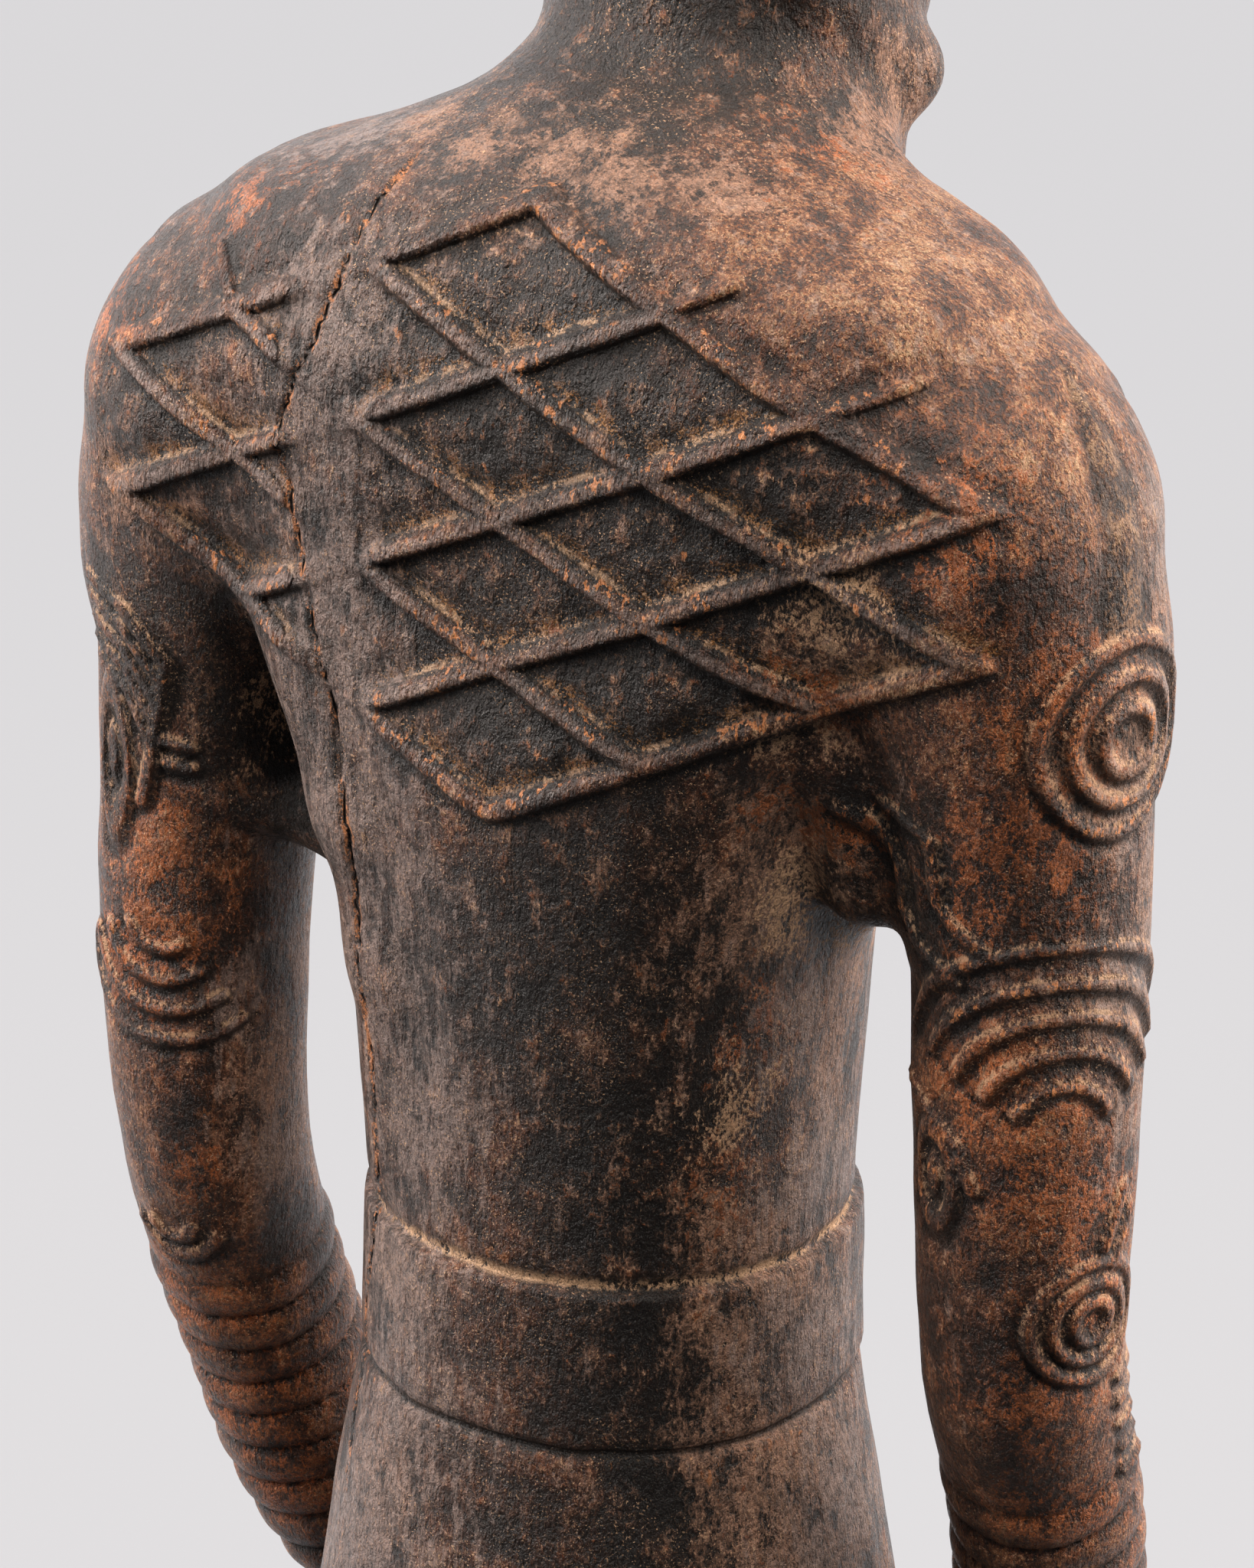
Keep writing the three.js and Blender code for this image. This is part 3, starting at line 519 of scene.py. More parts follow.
def net_places(points):
    """Distance to the net's nearest band, and how far inside its outline."""
    x = points[:, 0]
    h = points[:, 2] - WAIST
    p = (NET_APEX - h) / NET_ROW + x / NET_COLUMN
    q = (NET_APEX - h) / NET_ROW - x / NET_COLUMN
    unit = 1 / math.hypot(1 / NET_ROW, 1 / NET_COLUMN)

    def to_lines(value, other):
        nearest = np.clip(2 * np.round(value / 2), 0, NET_REACH)
        start = np.where(nearest == NET_REACH, 2, 0)
        end = np.where(nearest == 0, NET_REACH - 2, NET_REACH)
        beyond = np.maximum(np.maximum(start - other, other - end), 0)
        return np.hypot(value - nearest, beyond) * unit

    line = np.minimum(to_lines(p, q), to_lines(q, p))
    for stub in NET_STUBS:
        line = np.minimum(line, to_segments(np.stack([x, h], axis=1), stub) + 0.8)
    inside = np.minimum(np.minimum(p, q), np.minimum(NET_REACH - p, NET_REACH - q)) * unit
    inside = np.minimum(inside, (NET_SPREAD - np.abs(p - q)) * unit)
    return line, inside


def net_line(points):
    return net_places(points)[0]


def net_relief(points, normals):
    """Bands with a steep lower side, and cells that swell in the middle."""
    line, inside = net_places(points)
    above = np.clip(1.2 * rise_over(points, net_line), -1, 1)
    line = line + 0.5 * uneven(points, 7, 11)
    slack = 0.4 + 0.3 * above
    band = 1 - soft_step(line, BAND_HALF - 0.9 - slack, BAND_HALF + 0.2 + slack)
    pillow = soft_step(line, BAND_HALF + 0.5, BAND_HALF + 7.5)
    in_net = soft_step(inside, -0.5, 1.5)
    field = in_net * (1 - band) * (1 - 0.75 * pillow)
    rim = np.exp(-((line - BAND_HALF - 1.4) / 1.6) ** 2) * (1 - in_net)
    gouges = in_net * (1 - band) * uneven(points, 3.2, 14) * 0.4
    height = band * (BAND_PROUD - 0.15 * above) - FIELD_DEPTH * field - 0.4 * rim + gouges
    back = soft_step(normals[:, 1], -0.2, 0.15)
    return height * back * (1 - 0.85 * worn_strip(points)) * (1 + 0.3 * uneven(points, 22, 13))


def rise_over(points, distance):
    """1 above the nearest line, -1 below it, from how the distance changes upwards."""
    up = np.array([0, 0, 0.5])
    return distance(points + up) - distance(points - up)


def worn_strip(points):
    """1 in the strip along the crack where the net is worn flat, 0 elsewhere."""
    off = points[:, 0] - STRIP_X + 2 * uneven(points, 14, 12)
    return np.exp(-(off / STRIP_HALF) ** 4)


def arm_places(points):
    """Side of the arm, angle from straight out towards the back, height, and radius."""
    side = np.where(points[:, 0] < 0, -1, 1)
    h = np.clip(points[:, 2] - WAIST, ARM[-1][0], 60)
    out = np.abs(points[:, 0]) - along(ARM, h, 1)
    back = points[:, 1] - SET_BACK - along(ARM, h, 2)
    return side, np.degrees(np.arctan2(back, out)), h, np.hypot(out, back)


def arm_map(points, side, degrees, h):
    """Flat place round a place on one arm: along the skin and up; far away on all else."""
    sides, angle, height, radius = arm_places(points)
    turn = (angle - degrees + 180) % 360 - 180
    along_skin = np.radians(turn) * along(ARM, height, 3)
    spot = np.stack([along_skin, height - h], axis=1)
    limit = SHOULDER_LIMIT if h > 0 else ARM_LIMIT
    strange = (sides != side) | (radius > limit * along(ARM, height, 3))
    spot[strange] = NOT_ON_ARM
    return spot


def line_relief(distance, above):
    """Raised line, gentle above and cut steeply below, and higher where it stands upright."""
    crest = 1 - soft_step(distance, 0.6, 2.4 + 0.8 * above)
    cut = np.exp(-((distance - 2.6) / 0.9) ** 2) * (1 - above)
    return (0.7 * crest - 0.35 * cut) * (1.25 - 0.45 * above ** 2)


def arcs(points, side, degrees, h, radii, tall=1.0, start=-180, end=180):
    """Raised rings or arcs round one place on an arm, in degrees from the back upwards."""
    spot = arm_map(points, side, degrees, h)
    around = np.degrees(np.arctan2(spot[:, 1], spot[:, 0]))
    reach = np.hypot(spot[:, 0], spot[:, 1] / tall)
    middle = (start + end) / 2
    off = np.abs((around - middle + 180) % 360 - 180) - (end - start) / 2
    beyond = np.maximum(np.radians(off) * reach, 0)
    nearest = np.full(len(points), np.inf)
    for radius in radii:
        nearest = np.minimum(nearest, np.hypot(reach - radius, beyond))
    return nearest


def strokes(points, side, stops):
    """Distance to a bent line through places on an arm, each an angle and a height."""
    middle = stops[len(stops) // 2]
    spot = arm_map(points, side, middle[0], middle[1])
    turned = []
    for degrees, h in stops:
        radius = float(along(ARM, np.array(h, float), 3))
        turned.append((math.radians(degrees - middle[0]) * radius, h - middle[1]))
    return to_segments(spot, turned)


RIGHT = -1
LEFT = 1
SHOULDER_RINGS = (RIGHT, 22, 39.5, (5.6, 11, 16.8), 1.12)
# Rings and arcs: side, angle, height, radii, height for their width, and from where to where
ARM_ARCS = (
    SHOULDER_RINGS,
    (RIGHT, 47, -40, (10, 17, 24, 31, 38.5), 1, 25, 155),
    (RIGHT, 25, -82, (4.4, 8.8, 13.2), 1),
    (RIGHT, 118, -53, (0.8, 5), 2),
    (LEFT, 98, -38, (8, 15, 22, 29), 1, -155, -55),
    (LEFT, 88, -112, (5, 10), 1, -160, -20),
    (LEFT, 65, -6, (0.6, 4.5), 3.2),
)
# Bent lines: side and stops, each an angle and a height
ARM_STROKES = [
    (RIGHT, ((143, -36), (104, -44), (93, -53))),
    (RIGHT, ((140, 19), (130, 10), (133, 0.5), (124, -6.5), (102, -11))),
    (RIGHT, ((129, 22), (109, 18), (109, 5), (101, 0.5), (84, -4))),
    (RIGHT, ((20, -66), (6, -54))),
    (RIGHT, ((12, -70), (-2, -60))),
    (LEFT, ((101, 1), (113, 0))),
    (LEFT, ((101, -4), (113, -5))),
]
for k in range(5):
    ARM_STROKES.append((LEFT, ((60 - k, 33 - 4.6 * k), (84 - k, 30 - 5 * k),
                               (104 - 2.5 * k, 19 - 5 * k), (92 - 1.5 * k, -4 - 2.5 * k))))
    ARM_STROKES.append((RIGHT, ((-2 + k, -99 - 6 * k), (-26, -98 - 6 * k))))


def arm_lines(points):
    """Distance to the nearest of the carved lines on the arms."""
    lines = [arcs(points, *arc) for arc in ARM_ARCS]
    lines += [strokes(points, side, stops) for side, stops in ARM_STROKES]
    return np.minimum.reduce(lines) + 0.3 * uneven(points, 6, 21)


def on_arms(points, function, elsewhere):
    """Values of a function on the arms, and one value everywhere else."""
    near = (np.abs(points[:, 0]) > 60) & (np.abs(points[:, 2] - WAIST) < 225)
    values = np.full(len(points), float(elsewhere))
    values[near] = function(points[near])
    return values


def arm_rise(points):
    return rise_over(points, arm_lines)


def arm_relief(points):
    height = line_relief(arm_lines(points), np.clip(arm_rise(points), -1, 1))
    pit = np.exp(-(arcs(points, *SHOULDER_RINGS[:3], (0,)) / 2.4) ** 2)
    return height * (1 + 0.3 * uneven(points, 18, 22)) - 0.6 * pit


def armlet_relief(points):
    """Rings side by side like a wound cord, square to the slope of the forearm."""
    _, _, h, radius = arm_places(points)
    level = h.copy()
    for _ in range(4):
        ahead = [along(ARM, level - 1, c) - along(ARM, level, c) for c in (1, 2)]
        gap = (np.abs(points[:, 0]) - along(ARM, level, 1)) * ahead[0]
        gap = gap + (points[:, 1] - SET_BACK - along(ARM, level, 2)) * ahead[1]
        gap = gap - (points[:, 2] - WAIST - level)
        level = np.clip(level - gap / (1 + ahead[0] ** 2 + ahead[1] ** 2), -240, 60)
    level = level + 0.8 * uneven(points, 16, 31)
    phase = (level - ARMLET_TOP) / ARMLET_PITCH
    from_crest = np.abs(phase - np.round(phase)) * 2
    ring = 1.9 * np.sqrt(np.clip(1 - from_crest ** 2, 0, 1)) - 1
    span = soft_step(level, ARMLET_BOTTOM - 7, ARMLET_BOTTOM - 3)
    span = span * (1 - soft_step(level, ARMLET_TOP + 3, ARMLET_TOP + 7))
    on_arm = (radius < ARM_LIMIT * along(ARM, h, 3)) & (np.abs(points[:, 0]) > 58)
    return ring * span * on_arm


CRACK = [place(x, y, h) for x, y, h in (
    (26.6, 7.6, 142), (31, 22.5, 134), (33, 35, 125), (36, 44, 113), (39, 47, 100),
    (46, 48, 88), (49, 47, 76), (46.5, 47, 66), (44.5, 46, 54), (41, 47, 40), (38.5, 47, 28),
    (35.5, 47, 15), (34.5, 46, 0), (34.5, 43, -16), (34, 42, -30), (34, 40, -44), (32.5, 39, -60),
    (33, 38, -72), (35, 35.5, -84), (36, 35, -93), (38, 33, -110), (40, 32, -129),
    (41, 34, -150), (42, 38, -180), (42, 42, -210),
)]


def crack_distance(points):
    """Distance to the drying crack, which runs jagged; depth hardly counts."""
    flat = np.array([1, 0.3, 1])
    wander = points * flat
    wander[:, 0] += 0.8 * uneven(points, 3, 41) + 1.2 * uneven(points, 13, 42)
    return np.minimum(to_segments(wander, [stop * flat for stop in CRACK]), 8)


def belt_height(points):
    """Height above the belt's lower edge, on the trunk; far off on the arms."""
    h = points[:, 2] - WAIST - BELT_BOTTOM + 0.5 * uneven(points, 9, 32)
    return np.where(np.abs(points[:, 0]) < 62, np.clip(h, -60, 60), 60)


def relief(points, normals):
    """Height of the fine carving over the plain skin, in mm."""
    height = net_relief(points, normals) + on_arms(points, arm_relief, 0) + armlet_relief(points)
    over_belt = belt_height(points)
    height -= 0.9 * np.exp(-((over_belt - BELT_TOP + BELT_BOTTOM - 1.2) / 1.3) ** 2)
    height -= 1.0 * np.exp(-((over_belt + 0.9) / 1.1) ** 2)
    height -= 0.8 * (1 - soft_step(crack_distance(points), 0.1, 1.0))
    height += 0.28 * uneven(points, 15, 51) + 0.22 * uneven(points, 5.5, 52, 2.5)
    on_base = 1 - soft_step(points[:, 2], BASE_HEIGHT - 5, BASE_HEIGHT + 3)
    return height * (1 - 0.6 * on_base) * soft_step(points[:, 2], 1, 4)


def put_in(name, data):
    thing = bpy.data.objects.new(name, data)
    bpy.context.collection.objects.link(thing)
    return thing


def thinned(mesh, triangles):
    """A mesh of squares with fewer triangles, most of them where it bends."""
    draft = put_in("draft", mesh)
    modifier = draft.modifiers.new("thin", "DECIMATE")
    modifier.ratio = triangles / (2 * len(mesh.polygons))
    modifier.use_collapse_triangulate = True
    graph = bpy.context.evaluated_depsgraph_get()
    result = bpy.data.meshes.new_from_object(draft.evaluated_get(graph))
    bpy.data.objects.remove(draft)
    bpy.data.meshes.remove(mesh)
    return result


# Zones of the patina, and of painted highlight and sheen: x, y from the trunk's axis, height from the
# small of the back, reach
PATINA = {
    "tan": (
        (-64, 17, 122, 30), (-84, 8, 112, 28), (-101, 14, 97, 24), (-56, -17, 127, 26),
        (-44, 31, 124, 15), (-45, 15, 131, 18), (-106, 18, 80, 14), (-75, 30, 108, 14),
    ),
    "orange": (
        (-102, 31, 48, 17), (-91, 38, 82, 15), (-114, 16, -60, 20), (-107, 24, -51, 18),
        (-42, -2, 137, 12), (-60, 39, 46, 12), (-100, 32, 14, 20), (-96, 29, -34, 18),
        (-111, 15, -77, 18), (91, 28, -27, 18), (95, 29, -47, 20), (90, 8, -140, 20),
        (88, 0, -165, 22), (84, -10, -190, 22), (87, 22, -101, 10), (64, 35, 116, 12),
        (-104, 20, -100, 16), (-104, 8, -128, 18), (-94, -10, -170, 24), (97, 29, 89, 12),
        (-54, 30, 12, 13), (-48, 30, -32, 12), (-62, 24, 14, 14), (-43, 34, -62, 12),
    ),
    # Grey film, and in part painted grey sheen along the back's left side and the arms' sides, where
    # grazing light would catch them
    "grey": (
        (34, 46, 105, 15), (37, 47, 80, 15), (40, 45, 55, 15), (36, 42, 30, 17), (30, 42, 0, 20),
        (26, 43, -30, 20), (24, 43, -60, 20), (28, 41, -95, 18), (24, 45, -130, 20),
        (34, 40, -160, 22), (-112, -2, 75, 14), (-117, 4, 45, 13),
        (-118, 5, 20, 12), (-118, 6, -7, 13), (-115, 2, -45, 12), (-50, 3, -66, 16),
        (-45, 22, -34, 13), (-51, 3, -108, 16), (-54, 0, -144, 20), (74, 18, -56, 12),
        (72, 7, -96, 14), (76, 10, -20, 12), (53, 16, 128, 12),
    ),
    "dark": (
        (-8, 49, 95, 26), (-30, 49, 75, 28), (-48, 47, 85, 20), (-20, 48, 45, 26),
        (-21, 46, -22, 19), (-24, 42, -44, 18), (-9, 48, -32, 16), (-23, 42, -66, 16),
        (-29, 40, -93, 12), (-31, 40, -123, 14), (-31, 42, -137, 16), (-18, 45, -90, 12),
        (-19, 50, 6, 16), (68, 23, 14, 22), (75, 30, 18, 20), (66, 24, 0, 18),
        (-10, 11, 145, 16), (-24, 0, 152, 20), (14, 0, 152, 18), (0, -4, 165, 22), (92, 34, 29, 12),
        (-72, 30, 10, 16),
    ),
    # Pale dusty skin; its spots on the right arm's outer side and the left arm's inner side are painted
    # highlight
    "pale": (
        (-50, 27, 11, 12), (-46, 28, -7, 14), (-49, 13, -29, 14), (-49, 4, -48, 14),
        (-37, 32, -70, 9), (-44, 19, -85, 10), (-49, 11, -96, 13), (-42, 27, -96, 9),
        (-46, 21, -123, 14), (-52, 4, -133, 16), (-54, -3, -147, 18), (-44, 28, -134, 10),
        (-50, 20, -147, 14), (-14, 26, 133, 10), (0, 25, 135, 9), (-32, 22, 131, 9),
        (20, 27, 132, 8), (37, 12, 133, 8), (-114, 16, 39, 15), (-111, 18, 24, 11),
        (-115, 6, -15, 13), (73, 6, -78, 13), (73, 8, -94, 15), (73, 0, -55, 10),
        (-39, -17, 134, 11), (-37, -39, 132, 12), (-117, 2, 60, 12), (-117, 1, 5, 12),
        (-116, 0, -40, 13), (-115, 0, -65, 13), (-112, -2, -92, 13), (30, 44, -96, 11),
        (30, 46, -140, 12), (86, 41, 58, 9), (-62, 42, 52, 9), (-56, 40, 40, 9),
    ),
    "dust": (
        (-53, 39, 34, 9), (-66, 42, 62, 12), (-40, 29, -49, 11), (-56, 5, -14, 12),
        (-48, 20, -5, 10), (60, 20, 10, 10),
    ),
}


def zone(points, spots):
    """How much each point belongs to a zone of the patina, from 0 to 1."""
    strayed = points + 7 * np.stack([uneven(points, 17, seed) for seed in (61, 62, 63)], axis=1)
    most = np.zeros(len(points))
    for x, y, h, reach in spots:
        distance = np.linalg.norm(strayed - place(x, y, h), axis=1)
        most = np.maximum(most, np.exp(-0.75 * (distance / reach) ** 2))
    return most


def standing_out(mesh, heights, rounds=6):
    """How far each point stands out from the mean of those round it, in mm."""
    ends = np.empty(2 * len(mesh.edges), np.int32)
    mesh.edges.foreach_get("vertices", ends)
    a = ends[0::2]
    b = ends[1::2]
    count = len(heights)
    neighbours = np.bincount(a, minlength=count) + np.bincount(b, minlength=count)
    mean = heights.copy()
    for _ in range(rounds):
        gathered = np.bincount(a, mean[b], count) + np.bincount(b, mean[a], count)
        mean = (mean + gathered) / (neighbours + 1)
    return heights - mean


def figure_values(clay, points, mesh):
    """What the material needs to know at each point."""
    normals = clay.slope(points, SLOPE_REACH)
    line, inside = net_places(points)
    away = np.where(normals[:, 1] > -0.1, 0, FAR)
    open_room = clay.at(points + HOLLOW_REACH * normals) / HOLLOW_REACH
    values = {
        "net_line": np.minimum(line + away + 9 * worn_strip(points), FAR),
        "net_inside": np.clip(inside - away, -10, 10),
        "net_rise": rise_over(points, net_line),
        "arm_line": np.minimum(on_arms(points, arm_lines, 12), 12),
        "arm_rise": on_arms(points, arm_rise, 0),
        "belt": belt_height(points),
        "limb": soft_step(np.abs(points[:, 0]), 62, 80) * (points[:, 2] < WAIST + 62),
        "crack": crack_distance(points),
        "crest": standing_out(mesh, relief(points, normals)),
        "hollow": np.clip(1 - open_room, 0, 1),
    }
    for name, spots in PATINA.items():
        values[name] = zone(points, spots)
    return values


def figure_mesh():
    clay = figure_clay(GRID)
    points, faces = skin_of(clay)
    normals = clay.slope(points, SLOPE_REACH)
    skin = bpy.data.meshes.new("skin")
    skin.from_pydata(points + normals * relief(points, normals)[:, None], [], faces)
    skin.validate()
    mesh = thinned(skin, SKIN_TRIANGLES)
    places = np.empty(3 * len(mesh.vertices), np.float32)
    mesh.vertices.foreach_get("co", places)
    for name, values in figure_values(clay, places.reshape(-1, 3).astype(float), mesh).items():
        attribute = mesh.attributes.new(name, "FLOAT", "POINT")
        attribute.data.foreach_set("value", values.astype(np.float32))
    mesh.transform(Matrix.Scale(0.001, 4))
    mesh.shade_smooth()
    mesh.update()
    return mesh


class Nodes:
    """Short ways to lay out the nodes of a material or of the world."""

    def __init__(self, owner):
        self.owner = owner
        owner.use_nodes = True
        self.tree = owner.node_tree
        self.places = self.new("TexCoord", {}).outputs

    def fill(self, node, inputs):
        """Sets inputs by name or number, each to a value or to what another node gives."""
        for name, value in inputs.items():
            if isinstance(value, bpy.types.NodeSocket):
                self.tree.links.new(value, node.inputs[name])
            else:
                node.inputs[name].default_value = value

    def new(self, kind, inputs):
        node = self.tree.nodes.new("ShaderNode" + kind)
        self.fill(node, inputs)
        return node

    def math(self, operation, *values):
        node = self.new("Math", dict(enumerate(values)))
        node.operation = operation
        return node.outputs[0]

    def total(self, start, *terms):
        """The start plus each value times its weight."""
        for value, weight in terms:
            start = self.math("MULTIPLY_ADD", value, weight, start)
        return start

    def times(self, first, *others):
        for other in others:
            first = self.math("MULTIPLY", first, other)
        return first

    def most(self, first, *others):
        for other in others:
            first = self.math("MAXIMUM", first, other)
        return first

    def without(self, value):
        return self.math("SUBTRACT", 1.0, value)

    def value(self, name):
        node = self.new("Attribute", {})
        node.attribute_name = name
        return node.outputs["Fac"]

    def noise(self, size_mm, detail, rough, stretch=1.0, lean=0.0):
        """Values round zero over a size in mm, drawn out along the upright grain."""
        scale = (1000, 1000, 1000 / stretch)
        grain = self.new("Mapping", {"Scale": scale, "Rotation": (0, lean, lean)})
        self.fill(grain, {"Vector": self.places["Object"]})
        node = self.new("TexNoise", {"Vector": grain.outputs[0], "Scale": 1 / size_mm})
        self.fill(node, {"Detail": detail, "Roughness": rough})
        node.normalize = False
        return node.outputs["Fac"]

    def step(self, value, start, end):
        """0 below the start, 1 past the end."""
        node = self.new("MapRange", {"Value": value, "From Min": start, "From Max": end})
        node.interpolation_type = "SMOOTHSTEP"
        return node.outputs["Result"]

    def fade(self, value, start, end):
        """1 below the start, 0 past the end."""
        return self.without(self.step(value, start, end))

    def between(self, value, start, full, fading, end):
        """1 from full to fading, 0 before the start and past the end."""
        return self.times(self.step(value, start, full), self.fade(value, fading, end))

    def mix(self, amount, a, b):
        """Some of colour b over colour a; sockets 6, 7 and 2 are the ones for colours."""
        node = self.new("Mix", {0: amount, 6: a, 7: b})
        node.data_type = "RGBA"
        return node.outputs[2]

    def ramp(self, value, stops):
        node = self.new("ValToRGB", {"Fac": value})
        elements = node.color_ramp.elements
        while len(elements) < len(stops):
            elements.new(0.5)
        for element, (position, _) in zip(elements, stops):
            element.position = position
        for element, (_, colour) in zip(elements, stops):
            element.color = colour
        return node.outputs["Color"]

    def bump(self, height, depth_mm, before):
        """Adds a height to the normal that the bump before it gives, if there is one."""
        node = self.new("Bump", {"Strength": 1.0, "Distance": depth_mm / 1000, "Height": height})
        if before:
            self.fill(node, {"Normal": before})
        return node.outputs["Normal"]

    def finish(self, name, inputs):
        """Fills the last node, and gives back the material or world."""
        self.fill(self.tree.nodes[name], inputs)
        return self.owner


def rgb(red, green, blue):
    """Linear colour from the usual 0 to 255 values."""
    return tuple(((v / 255 + 0.055) / 1.055) ** 2.4 for v in (red, green, blue)) + (1.0,)


# From the black old skin of the wood, through brown, to bare wood and pale worn grain
WEAR = (
    (0.0, rgb(14, 10, 8)),
    (0.2, rgb(42, 26, 18)),
    (0.38, rgb(86, 50, 33)),
    (0.52, rgb(136, 80, 48)),
    (0.66, rgb(178, 124, 82)),
    (0.85, rgb(212, 172, 130)),
)
GREY_FILM_AND_SHEEN = rgb(150, 129, 120)
DUSTY_SKIN_AND_HIGHLIGHT = rgb(184, 140, 114)
OCHRE_CRUMBS = rgb(182, 128, 74)
CHIPPED_WOOD = rgb(214, 138, 84)
RUST = rgb(200, 112, 58)
BLACK = rgb(6, 4, 3)
PALE_DUST_AND_HIGHLIGHT = rgb(222, 180, 142)


class OldWood(Nodes):
    """The figure's material, with the noises and mesh values that its layers share."""

    def __init__(self):
        super().__init__(bpy.data.materials.new("old_carved_wood"))
        self.broad = self.noise(24, 4, 0.6)
        self.blotch = self.noise(6.5, 6, 0.68, 1.5)
        self.clump = self.noise(2.2, 4, 0.7, 1.3)
        self.fuzz = self.noise(0.8, 3, 0.75, 1.7, 0.3)
        self.grit = self.noise(0.5, 2, 0.6)
        self.fibre = self.noise(0.6, 3, 0.65, 6)
        self.streak = self.noise(2.4, 5, 0.65, 5)
        self.chatter = self.noise(0.7, 2, 0.6, 5)
        for name in ("tan", "orange", "dark", "dust", "limb", "crest", "belt", "crack"):
            setattr(self, name, self.value(name))
        self.groove = self.between(self.belt, -2.0, -1.1, -0.5, 0.2)
        self.mark = self.value("arm_line")
        self.mark_rise = self.value("arm_rise")
        self.line = self.value("net_line")
        self.rise = self.value("net_rise")
        self.in_net = self.step(self.value("net_inside"), -0.5, 1.5)
        self.on_band = self.fade(self.line, 2.0, 2.8)
        self.ledge = self.times(self.between(self.line, 2.2, 3.2, 4.0, 7.5),
                                self.step(self.rise, -0.1, 0.7), self.in_net)
        depth = self.new("SeparateXYZ", {0: self.places["Object"]}).outputs["Y"]
        self.front = self.fade(depth, -0.025, 0.0)
        self.calm = self.without(self.times(self.front, 0.6))


def worn_skin(w):
    """The wood's colour by how far its skin is worn away, more evenly on the front, with some painted
    highlight on the ledges above the bands.
    """
    field = w.times(w.in_net, w.without(w.on_band))
    patchy = w.times(w.total(0.0, (w.broad, 0.16), (w.blotch, 0.22), (w.clump, 0.14)), w.calm)
    grain = w.total(0.13, (w.tan, 0.16), (w.orange, 0.08), (w.ledge, 0.22), (w.dust, 0.15),
                    (w.limb, 0.05))
    level = w.total(
        0.28, (w.tan, 0.27), (w.orange, 0.08), (w.dark, -0.22), (w.limb, 0.09), (w.dust, 0.12),
        (field, -0.06), (patchy, 1.0), (w.crest, 0.3), (w.front, -0.05),
        (w.fade(w.mark, 0.8, 2.0), -0.1),
        # Lighter in patches on the ledges above the bands: crumbs, and painted highlight where the
        # ledges face up to the light
        (w.times(w.ledge, w.step(w.blotch, -0.1, 0.5)), 0.15),
        (w.times(w.fuzz, grain), 1.0),
        (w.times(w.fibre, grain), 0.7),
    )
    return w.ramp(level, WEAR)


def crumbs_and_painted_rim(w, colour):
    """Crumbs that lie on the ledges of the cells, and a pale rim above the bands that is partly dust
    and partly painted highlight along their upper edges.
    """
    lying = w.step(w.total(w.grit, (w.clump, 0.5), (w.blotch, 0.6)), 0.12, 0.32)
    colour = w.mix(w.times(w.ledge, lying, 0.9), colour, OCHRE_CRUMBS)
    broken = w.step(w.total(w.noise(9, 2, 0.5), (w.clump, 0.6), (w.fuzz, 0.4)), -0.05, 0.35)
    # Pale rim just above each band: partly dust, partly painted highlight on the band's upper edge
    rim = w.times(w.between(w.line, 2.0, 2.5, 2.9, 3.9), w.step(w.rise, 0.0, 0.5), w.in_net,
                  broken, 0.75)
    return w.mix(rim, colour, PALE_DUST_AND_HIGHLIGHT)


def rubbed(w, colour):
    """Rust red where the skin is rubbed through in patches."""
    bare = w.total(0.0, (w.orange, 0.7), (w.blotch, 0.45), (w.clump, 0.6), (w.fuzz, 0.3))
    return w.mix(w.times(w.step(bare, 0.62, 0.76), w.calm, 0.9), colour, RUST)


def grey_film_and_sheen(w, colour):
    """The film of hands and smoke, drawn out along the grain, and on the bands; in part it is painted
    grey sheen where grazing light would catch the sides and the bands' crests.
    """
    film_and_sheen_amount = w.total(w.value("grey"), (w.streak, 0.75), (w.blotch, 0.35), (w.fuzz, 0.3),
                   (w.dark, -0.4), (w.limb, -0.15), (w.orange, -0.2))
    ridge = w.times(w.fade(w.line, 0.6, 1.5), w.in_net, w.step(w.chatter, -1.0, 0.2), w.without(w.tan),
                    w.without(w.times(w.dark, 0.5)))
    film_and_sheen_amount = w.total(0.0, (w.step(film_and_sheen_amount, 0.15, 1.0), 0.8), (ridge, 0.8))
    return w.mix(w.math("MINIMUM", film_and_sheen_amount, 0.85), colour, GREY_FILM_AND_SHEEN)


def pores(w, colour):
    """Dark pores and pits, and knife marks on the bands' flanks."""
    fine = w.times(w.step(w.fibre, 0.0, 0.6), 0.5)
    pits = w.times(w.step(w.clump, 0.1, 0.5), w.without(w.times(w.tan, 0.6)), 0.6)
    flank = w.times(w.between(w.line, 1.1, 1.7, 2.2, 3.0), w.step(w.chatter, -0.5, 0.2), w.in_net, 0.75)
    return w.mix(w.most(fine, pits, flank), colour, BLACK)


def chips(w, colour):
    """Bare wood where the edges are chipped."""
    spots = w.times(w.step(w.noise(1.3, 2, 0.6, 2.2), 0.3, 0.4), w.step(w.noise(13, 3, 0.6), 0.0, 0.25))
    edge = w.most(w.times(w.on_band, 0.8), w.step(w.crest, 0.1, 0.4))
    return w.mix(w.times(spots, edge), colour, CHIPPED_WOOD)


def painted_shade_under_lines(w, colour):
    """Painted shade under the bands and lines, where their steep lower sides would be in shadow."""
    under_band = w.times(w.between(w.line, 1.6, 2.3, 3.2, 5.0), w.fade(w.rise, -0.6, -0.1))
    under_mark = w.times(w.between(w.mark, 0.7, 1.3, 2.0, 3.4), w.fade(w.mark_rise, -0.1, 0.5))
    return w.mix(w.times(w.most(under_band, under_mark), 0.65), colour, BLACK)


